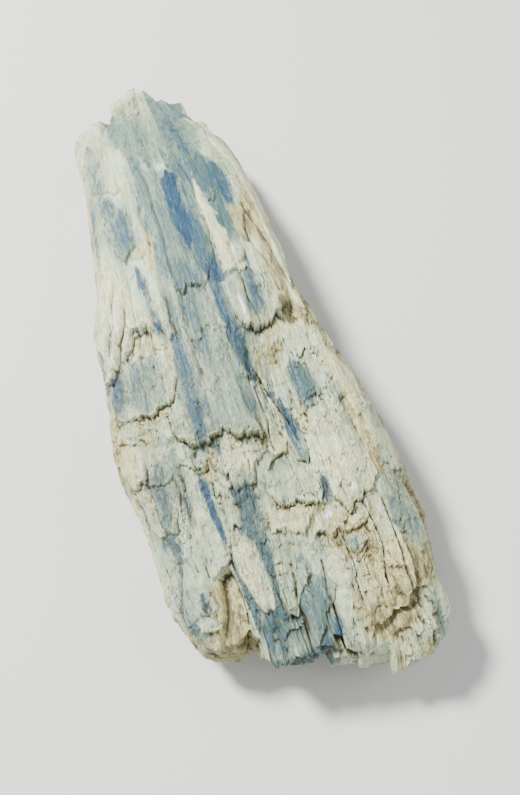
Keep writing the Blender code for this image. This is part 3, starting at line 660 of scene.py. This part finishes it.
def plate_cover(x, y, outline, widths):
    """How fully a plate covers each point, easing in over the widths of its near, side and far edges."""
    near, side, far = widths
    xs, ys = zip(*outline)
    box = (x > min(xs)) & (x < max(xs)) & (y > min(ys)) & (y < max(ys))
    px, py = x[box], y[box]
    edges = list(zip(outline, outline[1:] + outline[:1]))
    turn = math.copysign(1.0, sum(x0 * y1 - x1 * y0 for (x0, y0), (x1, y1) in edges))
    inside = np.zeros(px.shape, bool)
    part = np.ones(px.shape)
    for (x0, y0), (x1, y1) in edges:
        length = math.hypot(x1 - x0, y1 - y0)
        facing = turn * (x1 - x0) / length
        width = side + (near - side) * smooth(0.3, 0.7, facing) + (far - side) * smooth(0.3, 0.7, -facing)
        part = np.minimum(part, smooth(0, width, line_distance(px, py, ((x0, y0), (x1, y1)))))
        if y0 != y1:
            inside ^= ((y0 > py) != (y1 > py)) & (px < (x1 - x0) * (py - y0) / (y1 - y0) + x0)
    cover = np.zeros(x.shape)
    cover[box] = part * inside
    return cover


def plate_stack(plates, x, y):
    """The plates' height over the stone in mm, their colour shares and how far they cover it."""
    height = np.zeros(x.shape)
    hollow = np.zeros(x.shape)
    shares = np.zeros(x.shape + (4,))
    covered = np.zeros(x.shape)
    uneven = 0.82 + 1.1 * cloud(x / 3.4, y / 7, 170, 3)
    for rise, colour, outline in plates:
        ys = [place[1] for place in outline]
        nearness = np.clip((max(ys) - y) / (max(ys) - min(ys)), 0, 1)
        if rise > 0:
            lift = rise * (PLATE_LIFT + (1 - PLATE_LIFT) * nearness ** 2 * np.clip(uneven, 0.1, 1.6))
            height = np.maximum(height, lift * plate_cover(x, y, outline, PLATE_EDGES))
        else:
            lift = rise * (PLATE_LIFT + (1 - PLATE_LIFT) * (1 - nearness))
            hollow = np.minimum(hollow, lift * plate_cover(x, y, outline, PLATE_EDGES[::-1]))
        painted = plate_cover(x, y, outline, PAINT_EDGES)
        shares += (np.array(colour) - shares) * painted[..., None]
        covered = np.maximum(covered, painted)
    return height + hollow, shares, covered


def relief(x, along, across, top, brokenness, stack):
    """What is added to the distance, in mm, and a few numbers per blade and flake for the colours."""
    y = along + break_offsets(across, along)
    height = top * stack
    tones = []
    for k, (width, length, drop, lean) in enumerate(BLADES):
        level, side, place, number = blades(across, y, width, length, 31 + 10 * k)
        tilt = lean * (hash01(number, 4, 50 + k) - 0.5) * 2
        height += -drop * level * (0.6 + 0.4 * brokenness) + tilt * place * 0.5
        opened = smooth(0.35, 0.9, noise(along / (0.4 * length), number * 1.7, 70 + k))
        height -= 0.7 * drop * opened * np.exp(-(side / CRACK_WIDTH) ** 2)
        tones.append(hash01(number, 2, 80 + k))
    for k, (width, length, rise) in enumerate(SHINGLES):
        level, number = shingles(across, y, width, length, 61 + 10 * k)
        height += rise * (level - 0.5) * (0.15 + 0.85 * brokenness)
        tones.append(hash01(number, 2, 85 + k))
    for k, (width, length, layers, thickness, least) in enumerate(FLAKES):
        level, layer = flakes(across, y, width, length, layers, 140 + 7 * k)
        height += thickness * level * (least + (1 - least) * brokenness)
        tones.append(hash01(layer, 6, 150 + k))
    for drop, reach, line in LEDGES:
        xs, ys = zip(*line)
        inside = top * smooth(xs[0] - 0.6, xs[0] + 0.6, x) * (1 - smooth(xs[-1] - 0.6, xs[-1] + 0.6, x))
        below = np.interp(x, xs, ys) - y
        height -= drop * inside * (below > 0) * np.exp(-np.maximum(below, 0) / reach)
    for depth, half_width, line in CRACKS:
        near_line = line_distance(x + 0.5 * noise(along / 5, x * 0, 90), along, line)
        partly = 0.55 + 0.45 * noise(along / 7, x * 0, 91)
        height -= top * depth * partly * np.exp(-(near_line / half_width) ** 2)
    fibre, fibre_side, _ = cells(across + 0.3 * noise(along / 22, across * 0.1, 95), 0.42, 96)
    striation = (hash01(fibre, np.floor(along / 17 + hash01(fibre, 1, 97) * 5), 98) - 0.5) * 2
    height += STRIATION * (striation - np.exp(-(fibre_side / 0.09) ** 2))
    height += CRUMBLE * brokenness ** 2 * cloud(across / 1.0, along / 2.4, 101, 3)
    return height, tones


def streak(x, y, start, end, half_width):
    """1 on the middle of a long diamond between two places, 0 outside it."""
    length = math.dist(start, end)
    way = np.array([end[0] - start[0], end[1] - start[1]]) / length
    forward = ((x - start[0]) * way[0] + (y - start[1]) * way[1]) / length
    beside = np.abs((x - start[0]) * way[1] - (y - start[1]) * way[0])
    width = 1.7 * half_width * np.sqrt(np.clip(4 * (forward + 0.08) * (1.08 - forward), 0, 1))
    return np.clip(1.3 * (1 - beside / np.maximum(width, 0.01)), 0, 1)


def spot_mask(x, y, cx, cy, rx, ry):
    """1 in the middle of an oval, 0 a little outside it."""
    return np.clip(1.25 - np.hypot((x - cx) / rx, (y - cy) / ry), 0, 1)


def strongest_spot(x, y, spots):
    """The strongest of the masks of several spots."""
    best = np.zeros(x.shape)
    for spot in spots:
        best = np.maximum(best, spot_mask(x, y, *spot))
    return best


def towards(value, goal, share):
    """The value, moved to the goal by this share."""
    return value + (np.clip(goal, 0, 1) - value) * share


def paint(x, along, across, top, offsets, tones, crevice_shade, pale_rim_and_highlight, shares, covered):
    """Masks from 0 to 1 for the stone's colours, with painted shade in the crevices and pale ridges that are
    partly a painted highlight. The shares are the plates' own, where they cover it.
    """
    y = along + 1.5 * offsets
    wobble = 0.5 * noise(along / 6, across / 2, 110)
    bluish = np.full(x.shape, 0.30)
    stained = 0.52 - 0.30 * top
    for cx, cy, rx, ry, blue_share, tan_share in REGIONS:
        weight = top * smooth(0, 0.6, spot_mask(x, along, cx, cy, rx, ry))
        bluish += (blue_share - bluish) * weight
        stained += (tan_share - stained) * weight
    vein = 0.5 + 0.5 * cloud(across / 2.6, y / 30, 120, 4)
    choice = 0.32 * tones[0] + 0.30 * tones[1] + 0.14 * tones[2] + 0.24 * vein
    blue = 0.85 * smooth(0.92 - bluish, 1.22 - bluish, choice + 0.16)
    deep = 0.45 * smooth(0.80, 0.97, vein + 0.10 * (tones[1] - 0.5)) * smooth(0.1, 0.5, bluish)
    cloudy = 0.5 + 0.5 * cloud(across / 6, along / 11, 130, 4)
    tan = 0.9 * smooth(1 - stained - 0.25, 1 - stained + 0.15, 0.7 * cloudy + 0.3 * tones[3] + 0.08)
    cream = 0.6 * smooth(0.55, 0.85, 0.5 * tones[1] + 0.5 * (0.5 + 0.5 * cloud(across / 3, y / 18, 134, 3)))
    green = 0.4 * tones[0] + 0.25 * tones[1] + 0.15 * tones[2] + 0.2 * tones[3]
    uneven = 0.55 + 0.9 * (0.5 * vein + 0.5 * tones[1])
    hold = 0.8 * top * covered
    blue = towards(blue, shares[..., 0] * uneven, hold)
    tan = towards(tan, shares[..., 1] * (0.4 + 1.2 * cloudy), hold)
    cream = towards(cream, shares[..., 2] * (0.4 + 1.2 * cloudy), hold)
    green = towards(green, 0.25 * green + 0.85 * shares[..., 3], hold)
    for amount, depth, start, end, half_width in BLUES:
        mask = top * amount * streak(x + wobble, y, start, end, half_width)
        blue = np.maximum(blue, mask)
        deep = np.maximum(deep, mask * depth)
    for amount, cx, cy, rx, ry in STAINS:
        spot = smooth(0, 0.8, spot_mask(x + wobble, along + offsets, cx, cy, rx, ry))
        tan = np.maximum(tan, top * amount * spot)
    # painted shade: crevices tinted tan, on top of the real stains
    tan = np.clip(tan + 0.3 * crevice_shade * (0.3 + cloudy), 0, 1)
    cream = np.maximum(cream, top * strongest_spot(x + wobble, y, CREAMS))
    # paler on ridges: partly the blades' pale rims, partly a painted highlight
    cream = np.maximum(cream, 0.6 * pale_rim_and_highlight)
    return blue * (1 - 0.6 * tan), deep * (1 - 0.7 * tan), tan, cream, green


# ---- Meshes ----
def closed_triangles(rows, columns):
    """Triangles of the closed grid, as point numbers. Each end row folds shut along the medial strip."""
    index = np.arange(rows * columns).reshape(rows, columns)
    bottom_start = TOP_COLUMNS + RIGHT_COLUMNS
    left_start = bottom_start + TOP_COLUMNS
    for row in (0, rows - 1):
        index[row, bottom_start:left_start] = index[row, :TOP_COLUMNS][::-1]
        index[row, TOP_COLUMNS:bottom_start] = index[row, TOP_COLUMNS - 1]
        index[row, left_start:] = index[row, 0]
    a, b = index[:-1], index[1:]
    a_next, b_next = np.roll(a, -1, axis=1), np.roll(b, -1, axis=1)
    triangles = np.concatenate([
        np.stack([a, a_next, b_next], axis=-1).reshape(-1, 3),
        np.stack([a, b_next, b], axis=-1).reshape(-1, 3),
    ])
    whole = ((triangles[:, 0] != triangles[:, 1]) & (triangles[:, 1] != triangles[:, 2])
             & (triangles[:, 0] != triangles[:, 2]))
    return triangles[whole]


def mesh_from(name, points, triangles, masks):
    """A mesh in the frame's metres from points in the plan, with its masks as colour attributes."""
    used, triangles = np.unique(triangles, return_inverse=True)
    triangles = triangles.reshape(-1, 3)
    points = (points[used] - CENTRE) * MM
    a, b, c = (points[triangles[:, k]] for k in range(3))
    if np.einsum("ij,ij->", a, np.cross(b, c)) < 0:
        triangles = triangles[:, ::-1]
    mesh = bpy.data.meshes.new(name)
    mesh.vertices.add(len(points))
    mesh.vertices.foreach_set("co", np.ascontiguousarray(points, np.float32).ravel())
    mesh.loops.add(triangles.size)
    mesh.loops.foreach_set("vertex_index", np.ascontiguousarray(triangles, np.int32).ravel())
    mesh.polygons.add(len(triangles))
    mesh.polygons.foreach_set("loop_start", np.arange(0, triangles.size, 3, dtype=np.int32))
    for key, channels in masks.items():
        layer = mesh.attributes.new(key, "FLOAT_COLOR", "POINT")
        full = np.ones((len(points), 4), np.float32)
        for k, channel in enumerate(channels):
            full[:, k] = channel.ravel()[used]
        layer.data.foreach_set("color", full.ravel())
    mesh.update(calc_edges=True)
    return mesh, used


def reduced(obj, most, kept):
    """Collapse flat triangles, but not those between kept points, until at most this many are left."""
    count = len(obj.data.polygons)
    if count <= most:
        return
    modifier = obj.modifiers.new("fewer", "DECIMATE")
    modifier.ratio = most / count
    group = obj.vertex_groups.new(name="may_collapse")
    group.add(np.flatnonzero(~kept).tolist(), 1.0, "REPLACE")
    modifier.vertex_group = group.name
    modifier.vertex_group_factor = 0.0
    bpy.context.view_layer.update()
    made = bpy.data.meshes.new_from_object(obj.evaluated_get(bpy.context.evaluated_depsgraph_get()))
    obj.modifiers.clear()
    obj.vertex_groups.clear()
    old = obj.data
    obj.data = made
    bpy.data.meshes.remove(old)


def without_pit(origin, direction, cast):
    """The distances with the solid's pit in the near right corner closed."""
    x = (origin + direction * cast[..., None])[..., 0]
    here = (row_layout()[0] < PIT.rows_to)[:, None] * smooth(*PIT.x, x)
    here = here * (np.sin(column_layout()[1]) > PIT.facing)
    return cast + (blurred(closed(cast, PIT.reach), PIT.blur, PIT.blur) - cast) * here


def calm_places(origin, direction, calm):
    """Where the points of the calm surface lie, and how far each is on the top and on the near half."""
    point = origin + direction * calm[..., None]
    across, along = surface_places(point)
    facing_up = np.sin(column_layout()[1])
    top = np.repeat(smooth(*TOP_FACING, facing_up)[None, :], len(calm), axis=0)
    return SimpleNamespace(x=point[..., 0], z=point[..., 2], across=across, along=along,
                           facing_up=facing_up, top=top, near=1 - smooth(*NEAR_HALF, along))


def off_the_ends(mask, along):
    """The mask, fading to 0 towards both ends."""
    return mask * smooth(*BODY_NEAR, along) * (1 - smooth(*BODY_FAR, along))


def stand_out(way, below, above):
    """How far rays grow in length, one amount where their direction's part is below 0 and one above."""
    return np.where(way < 0, below, above) * np.abs(way)


def outlined(direction, cast, calm, at):
    """The distances with calm faces, ragged breaks and the fitted outline, and how far the breaks stray."""
    deep_break = smooth(0, DEEP_EASE, strongest_spot(at.x, at.along, DEEP_BREAKS))
    row_step = np.maximum(np.abs(np.gradient(at.along, axis=0)), LEAST_ROW_STEP)
    near_end = BREAKS_HELD.near - BREAKS_HELD.near * smooth(*NEAR_TIP, at.along)
    ends = np.maximum(near_end, BREAKS_HELD.far * smooth(*FAR_TIP, at.along))
    offsets = break_offsets(at.across, at.along) * (1 - BREAKS_HELD.deep * deep_break) * (1 - ends)
    wander = SIDE_WANDER * noise(at.across / 4, at.along / 6, 5)
    distance = shifted(cast, offsets / row_step, wander)
    body = off_the_ends(at.top, at.along)
    flanks = off_the_ends(smooth(*FLANK_FACING, at.facing_up)[None, :] * (1 - at.top), at.along)
    distance += (blurred(cast, CALM_CELLS, 1) - distance) * CALM_SHARE * flanks
    distance += (calm - distance) * CALM_SHARE * body * (1 - deep_break)
    distance += (blurred(cast, *DEEP_BLUR) - distance) * DEEP_CALM * body * deep_break
    left, right = (interpolate(SIDE_FIT, at.along, k) for k in (1, 2))
    distance += stand_out(direction[..., 0], left, right)
    far, near = (interpolate(END_FIT, at.x, k) for k in (1, 2))
    distance += stand_out(direction[..., 1], near, far)
    lumps = cloud(at.x / LUMPS.across, at.z / LUMPS.level + at.along / LUMPS.across, 9, 3)
    distance += LUMPS.height * lumps * (1 - smooth(*LUMPS.y, at.along)) * smooth(*LUMPS.x, at.x)
    return distance, offsets


def broken_up(at):
    """How finely the stone is broken: in patches, most on the near half and where it crumbled."""
    patches = smooth(0.40, 0.66, 0.5 + 0.5 * cloud(at.across / 6, at.along / 10, 160, 3))
    brokenness = 0.14 + 0.14 * patches + at.near * (0.32 + 0.40 * patches)
    return np.maximum(brokenness, smooth(0, 0.7, strongest_spot(at.x, at.along, CRUMBLED)))


def hollows_and_ridges(distance, near):
    """Masks of painted shade in fine and wide crevices together, and of ridges, pale partly as the blades'
    rims and partly as a painted highlight.
    """
    soft = blurred(distance, 1, 1)
    wide = blurred(distance, 4, 5)
    # painted shade: darker where the surface lies below its smoothed self, in narrow and in wide hollows
    fine_crevice_shade = 0.85 * np.clip((soft - distance) / 0.16 - 0.1, 0, 1)
    crevice_shade = fine_crevice_shade + 0.45 * np.clip((wide - distance) / 0.9, 0, 1)
    crevice_shade *= 0.6 + 0.4 * near
    return np.clip(crevice_shade, 0, 1), np.clip((distance - soft) / 0.25, 0, 1)


def steepness(distance, along):
    """How far each place is on a wall across the blades, from 0 to 1."""
    fall = np.abs(np.gradient(distance, axis=0)) / np.maximum(np.abs(np.gradient(along, axis=0)), 0.2)
    return smooth(0.9, 2.2, blurred(fall, 1, 0))


def build_skin():
    """The whole stone as one closed, finely broken skin, with its colour masks, painted shade, painted
    highlight and painted glints.
    """
    tree = solid_tree()
    origin, direction, cast = cast_skin(tree)
    cast = without_pit(origin, direction, cast)
    calm = blurred(cast, CALM_CELLS, CALM_CELLS)
    at = calm_places(origin, direction, calm)
    distance, offsets = outlined(direction, cast, calm, at)

    brokenness = broken_up(at)
    wobble = 0.35 * noise(at.along / 3, at.across / 2, 8)
    stack, shares, covered = plate_stack(placed_plates(tree), at.x + wobble, at.along + offsets)
    brokenness *= 1 - 0.25 * covered
    extra, tones = relief(at.x, at.along, at.across, at.top, brokenness, stack)
    under = smooth(*UNDER_FACING, -at.facing_up)[None, :]
    extra *= (1 - 0.6 * under) * (1 - 0.7 * smooth(*FAR_CALM, at.along))
    distance = distance + extra
    point = origin + direction * distance[..., None]
    point[..., 2] = np.maximum(point[..., 2], LOWEST)

    x = point[..., 0]
    crevice_shade, pale_rim_and_highlight = hollows_and_ridges(distance, at.near)
    seen = np.maximum(at.top, 1 - smooth(*NEAR_FACE, at.along))
    blue, deep, tan, cream, tone = paint(x, at.along, at.across, seen, offsets, tones, crevice_shade, pale_rim_and_highlight,
                                         shares, covered)
    wall = steepness(distance, at.along)
    blue, deep = blue * (1 - 0.8 * wall), deep * (1 - 0.8 * wall)
    # painted glints: white spots where the stone glitters
    glint = at.top * strongest_spot(x, at.along + offsets, GLINTS)
    # The tint's tan holds real stains and some painted crevice shade; the second mask holds painted crevice
    # shade, tone and cream; the third holds brokenness and painted glints.
    masks = {
        "stone_tint": (blue, deep, tan),
        "stone_shade_and_tone": (crevice_shade, tone, cream),
        "stone_break_and_glint": (brokenness, glint),
    }
    mesh, used = mesh_from(SKIN, point.reshape(-1, 3), closed_triangles(*cast.shape), masks)
    skin = bpy.data.objects.new(SKIN, mesh)
    bpy.context.scene.collection.objects.link(skin)
    fine = (at.facing_up > FINE_FACING)[None, :] & (point[..., 1] < FINE_UP_TO)
    reduced(skin, MAX_TRIANGLES, fine.ravel()[used])
    skin.data.shade_smooth()
    skin.data.set_sharp_from_angle(angle=SHARP_ANGLE)
    return skin


# ---- The stone ----
PALE = (0.61, 0.79, 0.57)
GREENISH = (0.155, 0.285, 0.205)
CREAM = (0.80, 0.77, 0.42)
BLUE_GREY = (0.048, 0.120, 0.142)
DEEP_BLUE = (0.012, 0.064, 0.125)
TAN = (0.57, 0.52, 0.22)
BROWN = (0.13, 0.095, 0.042)
GLINT_WHITE = (0.90, 0.92, 0.90)
# nearly black, for painted shade in the crevices
SHADOW_DARK = (0.022, 0.018, 0.013)


class Nodes:
    """Short calls for building a node tree."""

    def __init__(self, material):
        material.use_nodes = True
        self.tree = material.node_tree
        self.shader = self.tree.nodes["Principled BSDF"]

    def add(self, kind, settings=None, **inputs):
        node = self.tree.nodes.new(kind)
        for key, value in (settings or {}).items():
            setattr(node, key, value)
        for key, value in inputs.items():
            self.put(node.inputs[key.replace("_", " ")], value)
        return node

    def put(self, socket, value):
        if isinstance(value, bpy.types.NodeSocket):
            self.tree.links.new(value, socket)
        else:
            socket.default_value = value

    def maths(self, operation, a, b=0.0, clamp=False):
        node = self.tree.nodes.new("ShaderNodeMath")
        node.operation = operation
        node.use_clamp = clamp
        self.put(node.inputs[0], a)
        self.put(node.inputs[1], b)
        return node.outputs[0]

    def plus(self, value, extra, times):
        """The value and so many times the extra."""
        return self.maths("ADD", value, self.maths("MULTIPLY", extra, times))

    def blend(self, share, a, b, kind="MIX"):
        """The colour a, turned into b by this share."""
        node = self.tree.nodes.new("ShaderNodeMix")
        node.data_type = "RGBA"
        node.blend_type = kind
        self.put(node.inputs[0], share)
        for socket, value in ((node.inputs[6], a), (node.inputs[7], b)):
            self.put(socket, value if isinstance(value, bpy.types.NodeSocket) else (*value, 1.0))
        return node.outputs[2]

    def grey(self, value):
        node = self.tree.nodes.new("ShaderNodeCombineColor")
        for socket in node.inputs:
            self.put(socket, value)
        return node.outputs[0]

    def remap(self, value, low, high, to_low=0.0, to_high=1.0):
        """A smooth step from one range of values to another."""
        node = self.tree.nodes.new("ShaderNodeMapRange")
        node.interpolation_type = "SMOOTHSTEP"
        self.put(node.inputs["Value"], value)
        for key, number in (("From Min", low), ("From Max", high), ("To Min", to_low), ("To Max", to_high)):
            node.inputs[key].default_value = number
        return node.outputs["Result"]

    def mean(self, *values):
        total = values[0]
        for value in values[1:]:
            total = self.maths("ADD", total, value)
        return self.maths("DIVIDE", total, len(values))

    def layers(self, value, count):
        """Broken layers: value cut into level steps, and a mask of the thin painted shadow line under each
        step.
        """
        scaled = self.maths("MULTIPLY", value, count)
        part = self.maths("FRACT", scaled)
        riser = self.remap(part, 0.86, 1.0)
        level = self.maths("DIVIDE", self.maths("ADD", self.maths("FLOOR", scaled), riser), count)
        return level, self.remap(part, 0.80, 0.95)

    def channels(self, attribute):
        """The channels of a colour attribute."""
        layer = self.add("ShaderNodeAttribute", {"attribute_name": attribute})
        split = self.add("ShaderNodeSeparateColor", Color=layer.outputs["Color"])
        return [split.outputs[k] for k in range(3)]

    def streaks(self, across, along, detail=4.0, roughness=0.55, distortion=0.0):
        """Noise drawn out along the blades: feature sizes in mm across them and along them."""
        place = self.tree.nodes.new("ShaderNodeTexCoord").outputs["Object"]
        scaled = self.add("ShaderNodeVectorMath", {"operation": "MULTIPLY"})
        self.put(scaled.inputs[0], place)
        scaled.inputs[1].default_value = (1 / (across * MM), 1 / (along * MM), 1 / (across * MM))
        made = self.add("ShaderNodeTexNoise", Scale=1.0, Detail=detail, Roughness=roughness,
                        Distortion=distortion)
        self.put(made.inputs["Vector"], scaled.outputs[0])
        return made.outputs["Fac"]


def stone_material():
    """Pale stone, tinted and stained by the skin's masks, with noise drawn out along the blades, painted
    shade in its crevices, painted shadow lines under its small steps, painted glints and pale ridges that
    are partly a painted highlight.
    """
    material = bpy.data.materials.new("kyanite_stone")
    n = Nodes(material)
    blue, deep, tan = n.channels("stone_tint")
    # painted crevice shade, the blades' tone and cream
    crevice_shade, tone, cream = n.channels("stone_shade_and_tone")
    broken, glint = n.channels("stone_break_and_glint")[:2]
    broad = n.streaks(5.0, 30.0, 3.0)
    fine = n.streaks(0.8, 9.0, 5.0, 0.6)
    hair = n.streaks(0.25, 5.0, 3.0, 0.6)
    grain = n.streaks(0.40, 1.8, 4.0, 0.65)
    mottle = n.streaks(1.4, 7.0, 5.0, 0.62, 0.4)
    scales, scale_step_shadow = n.layers(n.streaks(1.3, 6.5, 5.0, 0.62), 9.0)
    chips, chip_step_shadow = n.layers(n.streaks(0.6, 2.6, 4.0, 0.6), 6.0)

    greenish = n.remap(n.mean(broad, tone, mottle), 0.36, 0.62, 0.0, 0.9)
    colour = n.blend(greenish, PALE, GREENISH)
    creamy = n.maths("ADD", cream, n.remap(mottle, 0.47, 0.66, 0.0, 0.75))
    colour = n.blend(n.maths("MULTIPLY", creamy, 0.85, True), colour, CREAM)
    ragged = n.maths("SUBTRACT", n.mean(fine, mottle, grain), 0.5)
    blue_share = n.remap(n.plus(blue, ragged, 4.0), 0.05, 0.85, 0.0, 0.96)
    colour = n.blend(blue_share, colour, BLUE_GREY)
    deep_share = n.remap(n.plus(deep, ragged, 4.5), 0.12, 0.75, 0.0, 1.0)
    colour = n.blend(deep_share, colour, DEEP_BLUE)
    blotchy = n.maths("SUBTRACT", n.mean(grain, mottle, scales), 0.5)
    # the tan channel holds real stains and some painted crevice shade
    stain_and_shade = n.plus(tan, blotchy, 2.6)
    colour = n.blend(n.remap(stain_and_shade, 0.22, 0.90, 0.0, 0.85), colour, TAN)
    # painted glint: white where the stone glitters
    colour = n.blend(n.remap(n.plus(glint, ragged, 3.0), 0.3, 0.8), colour, GLINT_WHITE)
    # painted shade: crevices turned brown, and the deepest nearly black
    painted_shade = n.plus(crevice_shade, n.maths("SUBTRACT", grain, 0.5), 0.6)
    colour = n.blend(n.remap(painted_shade, 0.30, 0.95, 0.0, 0.75), colour, BROWN)
    colour = n.blend(n.remap(painted_shade, 0.60, 1.10, 0.0, 0.9), colour, SHADOW_DARK)
    colour = n.blend(n.remap(stain_and_shade, 0.74, 1.10, 0.0, 0.85), colour, BROWN)
    # painted shadow: brown lines at the foot of the small broken steps
    edges = n.maths("MULTIPLY", n.maths("MAXIMUM", scale_step_shadow, n.maths("MULTIPLY", chip_step_shadow, 0.6)), broken)
    colour = n.blend(n.maths("MULTIPLY", edges, 0.65), colour, BROWN)
    streaky = n.remap(n.mean(fine, grain, mottle), 0.38, 0.60, 0.66, 1.24)
    colour = n.blend(1.0, colour, n.grey(streaky), "MULTIPLY")
    n.put(n.shader.inputs["Base Color"], colour)

    rough = n.remap(n.plus(fine, crevice_shade, 0.4), 0.3, 0.8, 0.36, 0.66)
    n.put(n.shader.inputs["Roughness"], rough)
    n.shader.inputs["Metallic"].default_value = 0.0
    n.shader.inputs["IOR"].default_value = 1.62
    n.shader.inputs["Specular IOR Level"].default_value = 0.35
    n.shader.inputs["Subsurface Weight"].default_value = 0.03
    n.shader.inputs["Subsurface Radius"].default_value = (1.0, 0.9, 0.8)
    n.shader.inputs["Subsurface Scale"].default_value = 0.0010

    # height, strength and distance in metres
    bumps = (
        (hair, 0.55, 0.00022), (grain, 0.40, 0.00030), (n.maths("MULTIPLY", scales, broken), 1.0, 0.00220),
        (n.maths("MULTIPLY", chips, broken), 1.0, 0.00100),
    )
    normal = None
    for height, strength, distance in bumps:
        bump = n.add("ShaderNodeBump", Strength=strength, Distance=distance, Height=height)
        if normal is not None:
            n.put(bump.inputs["Normal"], normal)
        normal = bump.outputs["Normal"]
    n.put(n.shader.inputs["Normal"], normal)
    return material


# ---- Floor, light and camera ----
FLOOR_COLOUR = (0.72, 0.72, 0.70)


def make_floor():
    bpy.ops.mesh.primitive_plane_add(size=4.0)
    floor = bpy.context.object
    floor.name = "floor"
    material = bpy.data.materials.new("floor_paper")
    n = Nodes(material)
    n.shader.inputs["Base Color"].default_value = (*FLOOR_COLOUR, 1.0)
    n.shader.inputs["Roughness"].default_value = 0.75
    floor.data.materials.append(material)


def add_light(name, place, target, size, watts, colour=(1.0, 1.0, 1.0)):
    data = bpy.data.lights.new(name, "AREA")
    data.shape = "DISK"
    data.size = size
    data.energy = watts
    data.color = colour
    light = bpy.data.objects.new(name, data)
    light.location = place
    light.rotation_euler = (Vector(target) - Vector(place)).to_track_quat("-Z", "Y").to_euler()
    bpy.context.scene.collection.objects.link(light)


def light_stage():
    """A small hard key from the far left, two soft lights and a pale world; places and sizes in metres."""
    middle = (0, 0, 0.015)
    add_light("key", (-0.42, 0.40, 0.72), middle, 0.20, 23.5, (1.0, 0.98, 0.95))
    add_light("fill", (0.6, -0.2, 0.6), middle, 0.7, 2.8, (0.97, 0.99, 1.0))
    add_light("front", (-0.3, -0.7, 0.6), middle, 0.8, 2.3)
    world = bpy.data.worlds.new("studio")
    bpy.context.scene.world = world
    world.use_nodes = True
    background = world.node_tree.nodes["Background"]
    background.inputs["Color"].default_value = (0.96, 0.98, 1.0, 1.0)
    background.inputs["Strength"].default_value = 0.40


def make_camera():
    data = bpy.data.cameras.new("camera")
    data.lens = CAMERA_LENS
    data.sensor_width = 36.0
    data.clip_start = 0.01
    camera = bpy.data.objects.new("camera", data)
    camera.location = in_frame(CAMERA_PLACE)
    camera.rotation_euler = (math.pi / 2 - CAMERA_DOWN, 0.0, CAMERA_TURN)
    bpy.context.scene.collection.objects.link(camera)
    bpy.context.scene.camera = camera


def main():
    make_camera()
    make_floor()
    light_stage()
    skin = build_skin()
    skin.data.materials.append(stone_material())
    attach(skin, "root")
    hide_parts(NODE)


main()
